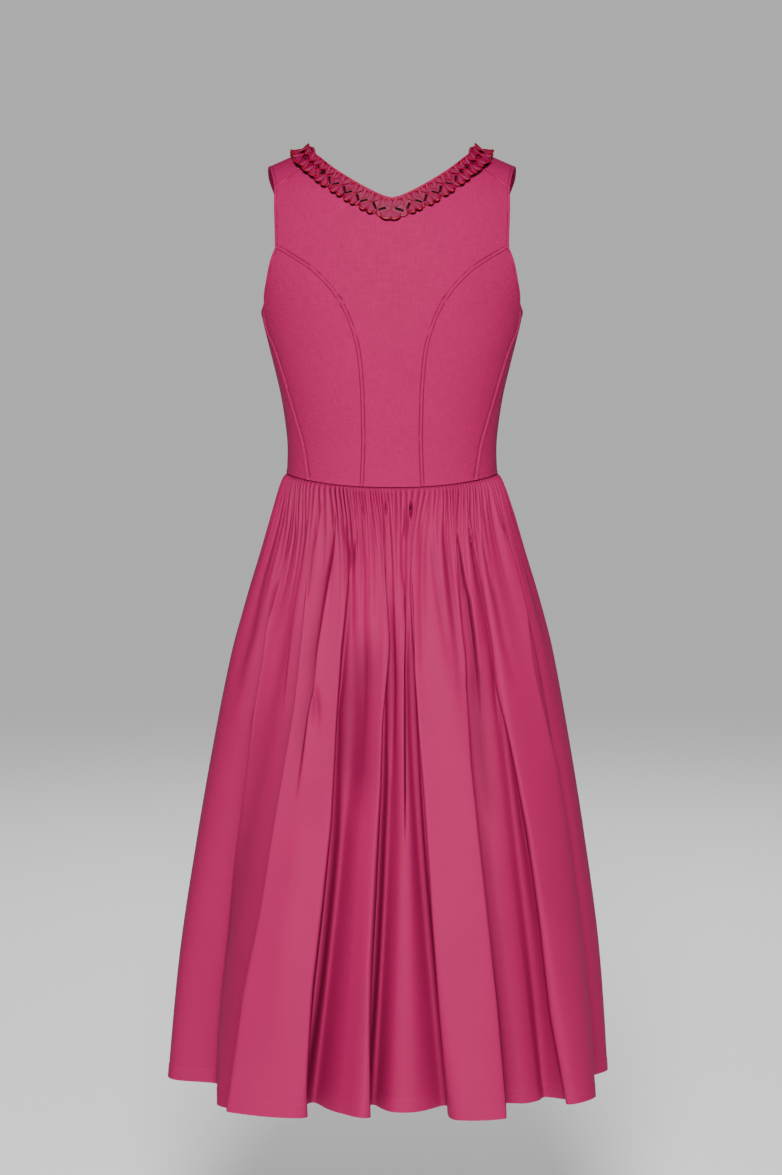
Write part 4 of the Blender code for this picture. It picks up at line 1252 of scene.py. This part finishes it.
# what the depths in the table are multiplied by
CREASE_DEPTHS = {"groove": 1.4, "slit": 2.0, "ridge": 1.2, "over_left": 1.3, "over_right": 1.3}
CREASE_FEET = {
    # where the narrow ones are hollow: place and half width in their widths, and how dark the painted
    # shade there is
    "slit": (0.0, 0.55, 0.95),
    "over_left": (0.10, 0.13, 0.75),
    "over_right": (-0.10, 0.13, 0.75),
}
CREASE_SHADE = {"groove": 0, "over_left": 1, "over_right": -1}  # the side that lies low, which gets the valley's painted shade
VALLEY_SHADE = 0.34  # painted shade: how much light the wide hollows lose from their colour
VALLEY_FADE = 1.5  # power of its fading
FULL_SHADE = (4, 5)  # depths in mm at which the painted shade of feet and valleys is at its darkest


def creases(points):
    """The creases of the back and their mirror image on the front, and the painted shade in them."""
    across, down = mirrored_view(points)
    relief, painted_shade = np.zeros(across.shape), np.zeros(across.shape)
    for kind, path in CREASES:
        at, depth_at, sizes, widths = np.array(path, float).T
        width = np.interp(down, depth_at, widths)
        size = np.interp(down, depth_at, sizes, left=0, right=0)
        off = (across - np.interp(down, depth_at, at)) / width
        relief += CREASE_DEPTHS[kind] * size * CREASE_SHAPES[kind](off)
        # painted shade in the feet of the narrow creases
        if kind in CREASE_FEET:
            foot, reach, share = CREASE_FEET[kind]
            painted_dark = share * smooth(size / FULL_SHADE[0]) * bell(off - foot, reach)
            painted_shade = np.maximum(painted_shade, painted_dark)
        # painted shade over the low side of the valleys
        if kind in CREASE_SHADE:
            side = CREASE_SHADE[kind]
            low = np.maximum(side * off, 0) if side else np.abs(off)
            valley = VALLEY_SHADE * smooth(size / FULL_SHADE[1]) * np.exp(-(low**VALLEY_FADE))
            painted_shade = np.maximum(painted_shade, valley * (off * side >= 0))
    return relief / 1000, painted_shade


GATHER_WARP = [(rng.uniform(20, 90), rng.uniform(0, 6.3), rng.uniform(0.2, 0.6)) for _ in range(8)]


def gathers(waist, drop, across):
    """The fine gathers under the waist seam, which run together, and the painted shade between them
    and under the seam.
    """
    phase = waist / GATHER_PITCH
    for rate, shift, size in GATHER_WARP:
        phase = phase + size * np.sin(waist * rate + shift)
    relief = 0
    for pitches, shift, height, start, reach, power in GATHER_WAVES:
        wave = np.abs(np.sin(math.pi * phase / pitches + shift)) ** WAVE_POWER - WAVE_MIDDLE
        relief = relief + height * wave * smooth(drop / start) * np.exp(-((drop / reach) ** power))
    pitches, shift, height, start, reach = WIDE_GATHERS
    wave = np.sin(math.pi * phase / pitches + shift)
    relief = relief + height * wave * smooth(drop / start) * bell(drop, reach)
    # painted shade between the gathers, darker on the left, and under the waist seam
    left = smooth((across - LEFT_GATHERS[0]) / LEFT_GATHERS[1])
    painted_dark, more_on_left = GATHERS_SHADE
    painted_shade = (painted_dark + more_on_left * left) * bell(np.sin(math.pi * phase), GATHERS_DARK_WIDTH)
    painted_shade = painted_shade * smooth(drop / GATHERS_DARK_FROM)
    painted_shade = painted_shade * bell(drop, GATHERS_DARK_TO[0] + GATHERS_DARK_TO[1] * left)
    size, rate, shift = GATHERS_DARK_WAVE
    painted_shade = painted_shade * (1 - size + size * np.sin(waist * rate + shift))
    line_height, line_dark = SEAM_LINE
    return relief, np.maximum(painted_shade, line_dark * (1 - smooth(drop / line_height)))


def hem_relief(drop):
    """The turned hem's thickness, and the groove of its stitches."""
    above = SKIRT_LENGTH - drop - HEM_STITCH
    step, over = HEM_STEP
    groove, width = HEM_GROOVE
    return step * (1 - smooth(above / over)) - groove * bell(above, width)
# ---------------------------------------------------------------- materials

BODICE_PINK = (0.190, 0.0020, 0.042, 1.0)
SKIRT_PINK = (0.200, 0.0022, 0.044, 1.0)
RIBBON_PINK = (0.122, 0.0007, 0.028, 1.0)
RIBBON_RED = (0.140, 0.0001, 0.0100, 1.0)
# black for the painted shadow tubes beside and under the ribbon's mouths
RIBBON_SHADOW = (0.006, 0.0002, 0.0015, 1.0)
THREADS = (2600.0, 260.0)  # how often the weave changes across and along a thread
THREAD_HEIGHT = 0.0006
THREAD_NOISE = {"Scale": 0.35, "Detail": 2.0}
CLOUD_NOISE = {"Scale": 18.0, "Detail": 3.0}
CLOUDS = 0.10  # how much the cloth's tone wanders
CLOTH_GLOSS = 0.15


class Value:
    """A value socket that takes part in plain arithmetic."""

    def __init__(self, tree, socket):
        self.tree, self.socket = tree, socket

    def _with(self, operation, *others):
        node = self.tree.nodes.new("ShaderNodeMath")
        node.operation = operation
        for place, other in enumerate(others):
            if isinstance(other, Value):
                self.tree.links.new(other.socket, node.inputs[place])
            else:
                node.inputs[place].default_value = other
        return Value(self.tree, node.outputs[0])

    def __add__(self, other):
        return self._with("ADD", self, other)

    __radd__ = __add__

    def __mul__(self, other):
        return self._with("MULTIPLY", self, other)

    __rmul__ = __mul__

    def __sub__(self, other):
        return self._with("SUBTRACT", self, other)

    def __rsub__(self, other):
        return self._with("SUBTRACT", other, self)


class Nodes:
    """A tree whose nodes are made one method call at a time."""

    def __init__(self, tree):
        self.tree = tree

    def node(self, kind, settings=None, **inputs):
        node = self.tree.nodes.new(kind)
        for key, value in (settings or {}).items():
            setattr(node, key, value)
        self.set(node, **inputs)
        return node

    def set(self, node, **inputs):
        for key, value in inputs.items():
            self.feed(node.inputs[key.replace("_", " ")], value)

    def feed(self, socket, value):
        if isinstance(value, Value):
            value = value.socket
        if isinstance(value, bpy.types.NodeSocket):
            self.tree.links.new(value, socket)
        else:
            socket.default_value = value

    def value(self, socket):
        return Value(self.tree, socket)


class Material(Nodes):
    """A Principled material."""

    def __init__(self, name):
        self.made = bpy.data.materials.new(name)
        self.made.use_nodes = True
        super().__init__(self.made.node_tree)
        self.shader = self.tree.nodes["Principled BSDF"]


def cloth_material(name, colour, roughness, weave, slub):
    """Woven cloth, with painted shade darkening its colour where its mesh says that it is hollow."""
    look = Material(name)
    where = look.node("ShaderNodeUVMap", {"uv_map": "cloth"}).outputs["UV"]
    threads = -1.0
    for scale in (THREADS, THREADS[::-1]):
        stretched = look.node("ShaderNodeMapping", Vector=where, Scale=(*scale, 1.0)).outputs[0]
        noise = look.node("ShaderNodeTexNoise", Vector=stretched, **THREAD_NOISE)
        threads = look.value(noise.outputs["Fac"]) + threads
    soft = look.node("ShaderNodeTexNoise", Vector=where, **CLOUD_NOISE)
    painted_shade = look.node("ShaderNodeAttribute", {"attribute_name": "painted_shade"}).outputs["Fac"]
    tone = 1.0 + threads * slub + (look.value(soft.outputs["Fac"]) - 0.5) * CLOUDS
    # painted shade: the colour is darkened where the mesh marks hollows
    tone = tone * (1.0 - look.value(painted_shade))
    scaling = {"operation": "SCALE"}
    tinted = look.node("ShaderNodeVectorMath", scaling, Vector=colour[:3], Scale=tone)
    bump = look.node("ShaderNodeBump", Height=threads, Strength=weave, Distance=THREAD_HEIGHT)
    look.set(
        look.shader,
        Base_Color=tinted.outputs["Vector"],
        Roughness=roughness,
        Normal=bump.outputs["Normal"],
        Specular_IOR_Level=CLOTH_GLOSS,
    )
    return look.made


def satin(name, colour, roughness, gloss):
    look = Material(name)
    look.set(look.shader, Base_Color=colour, Roughness=roughness, Specular_IOR_Level=gloss)
    return look.made


bodice_cloth = cloth_material("bodice_cloth", BODICE_PINK, 0.85, weave=0.35, slub=0.35)
skirt_cloth = cloth_material("skirt_cloth", SKIRT_PINK, 0.75, weave=0.10, slub=0.06)
ribbon_cloth = cloth_material("ribbon_cloth", RIBBON_PINK, 0.60, weave=0.10, slub=0.10)
ribbon_edge = satin("ribbon_edge", RIBBON_RED, 0.45, gloss=0.12)
# black material of the painted shadow tubes
ribbon_shadow = satin("ribbon_shadow", RIBBON_SHADOW, 0.9, gloss=0.1)

# ---------------------------------------------------------------- the dress

back_centre(bodice_cloth)
back_side(bodice_cloth)
front_side(bodice_cloth)
front_centre(bodice_cloth)
front_underlap(bodice_cloth)
neck_ribbon(ribbon_cloth, ribbon_edge, ribbon_shadow)
skirt_panel("skirt_back", LEFT_SEAM, RIGHT_SEAM, 681, skirt_cloth)
skirt_panel("skirt_front_left", 0.0, LEFT_SEAM, 341, skirt_cloth)
skirt_panel("skirt_front_right", RIGHT_SEAM, 360.0, 341, skirt_cloth)
# ---------------------------------------------------------------- the room

FLOOR_LEVEL = -1.42
FLOOR_REACH = 90.0
FLOOR_GREY = (0.82, 0.82, 0.83, 1.0)
FLOOR_BLEND = (2.0, 6.0)  # distances from the dress between which it turns into the room
PALE = (0.80, 0.80, 0.81, 1.0)
WORLD_STRENGTH = 0.65
WORLD_FALL = {"From_Min": 0.15, "From_Max": 0.60, "To_Min": WORLD_STRENGTH, "To_Max": 0.22}
LIT_POINT = (0.0, 0.0, -0.5)


def make_floor():
    look = Material("floor")
    look.set(look.shader, Base_Color=FLOOR_GREY, Roughness=0.7)
    spot = look.node("ShaderNodeNewGeometry").outputs["Position"]
    far = look.node("ShaderNodeVectorMath", {"operation": "LENGTH"}, Vector=spot).outputs["Value"]
    start, end = FLOOR_BLEND
    soft = {"interpolation_type": "SMOOTHSTEP"}
    share = look.node("ShaderNodeMapRange", soft, Value=far, From_Min=start, From_Max=end)
    glow = look.node("ShaderNodeEmission", Color=PALE, Strength=WORLD_STRENGTH)
    mix = look.node("ShaderNodeMixShader", Fac=share.outputs["Result"])
    look.feed(mix.inputs[1], look.shader.outputs[0])
    look.feed(mix.inputs[2], glow.outputs[0])
    look.set(look.tree.nodes["Material Output"], Surface=mix.outputs[0])
    ways = ((-1, -1), (1, -1), (1, 1), (-1, 1))
    corners = [(FLOOR_REACH * x, FLOOR_REACH * y, FLOOR_LEVEL) for x, y in ways]
    data = bpy.data.meshes.new("floor")
    data.from_pydata(corners, [], [(0, 1, 2, 3)])
    data.materials.append(look.made)
    floor = bpy.data.objects.new("floor", data)
    bpy.context.scene.collection.objects.link(floor)


def make_world():
    """An even pale room that is darker overhead."""
    world = bpy.data.worlds.new("pale")
    world.use_nodes = True
    room = Nodes(world.node_tree)
    way = room.node("ShaderNodeTexCoord").outputs["Generated"]
    height = room.node("ShaderNodeSeparateXYZ", Vector=way).outputs["Z"]
    strength = room.node("ShaderNodeMapRange", Value=height, **WORLD_FALL).outputs["Result"]
    room.set(room.tree.nodes["Background"], Color=PALE, Strength=strength)
    bpy.context.scene.world = world


def make_light(name, at, size, power, glossy=True):
    """A round lamp that faces the middle of the dress."""
    data = bpy.data.lights.new(name, "AREA")
    data.shape, data.size, data.energy = "DISK", size, power
    lamp = bpy.data.objects.new(name, data)
    lamp.location = at
    lamp.visible_glossy = glossy
    way = np.array(at) - np.array(LIT_POINT)
    flat = math.hypot(way[0], way[1])
    lamp.rotation_euler = (math.atan2(flat, way[2]), 0, math.atan2(way[0], -way[1]))
    bpy.context.scene.collection.objects.link(lamp)


def make_camera():
    data = bpy.data.cameras.new("camera")
    data.lens, data.sensor_width = LENS, 36.0
    data.clip_start, data.clip_end = 0.1, 300.0
    camera = bpy.data.objects.new("camera", data)
    camera.location = EYE
    camera.rotation_euler = (math.radians(90 - TILT), 0, math.pi)
    bpy.context.scene.collection.objects.link(camera)
    bpy.context.scene.camera = camera


make_floor()
make_world()
make_light("key", (0.12, 4.6, 1.5), size=1.2, power=660.0)
make_light("fill", (-0.3, -4.6, 1.7), size=1.6, power=170.0, glossy=False)
make_camera()
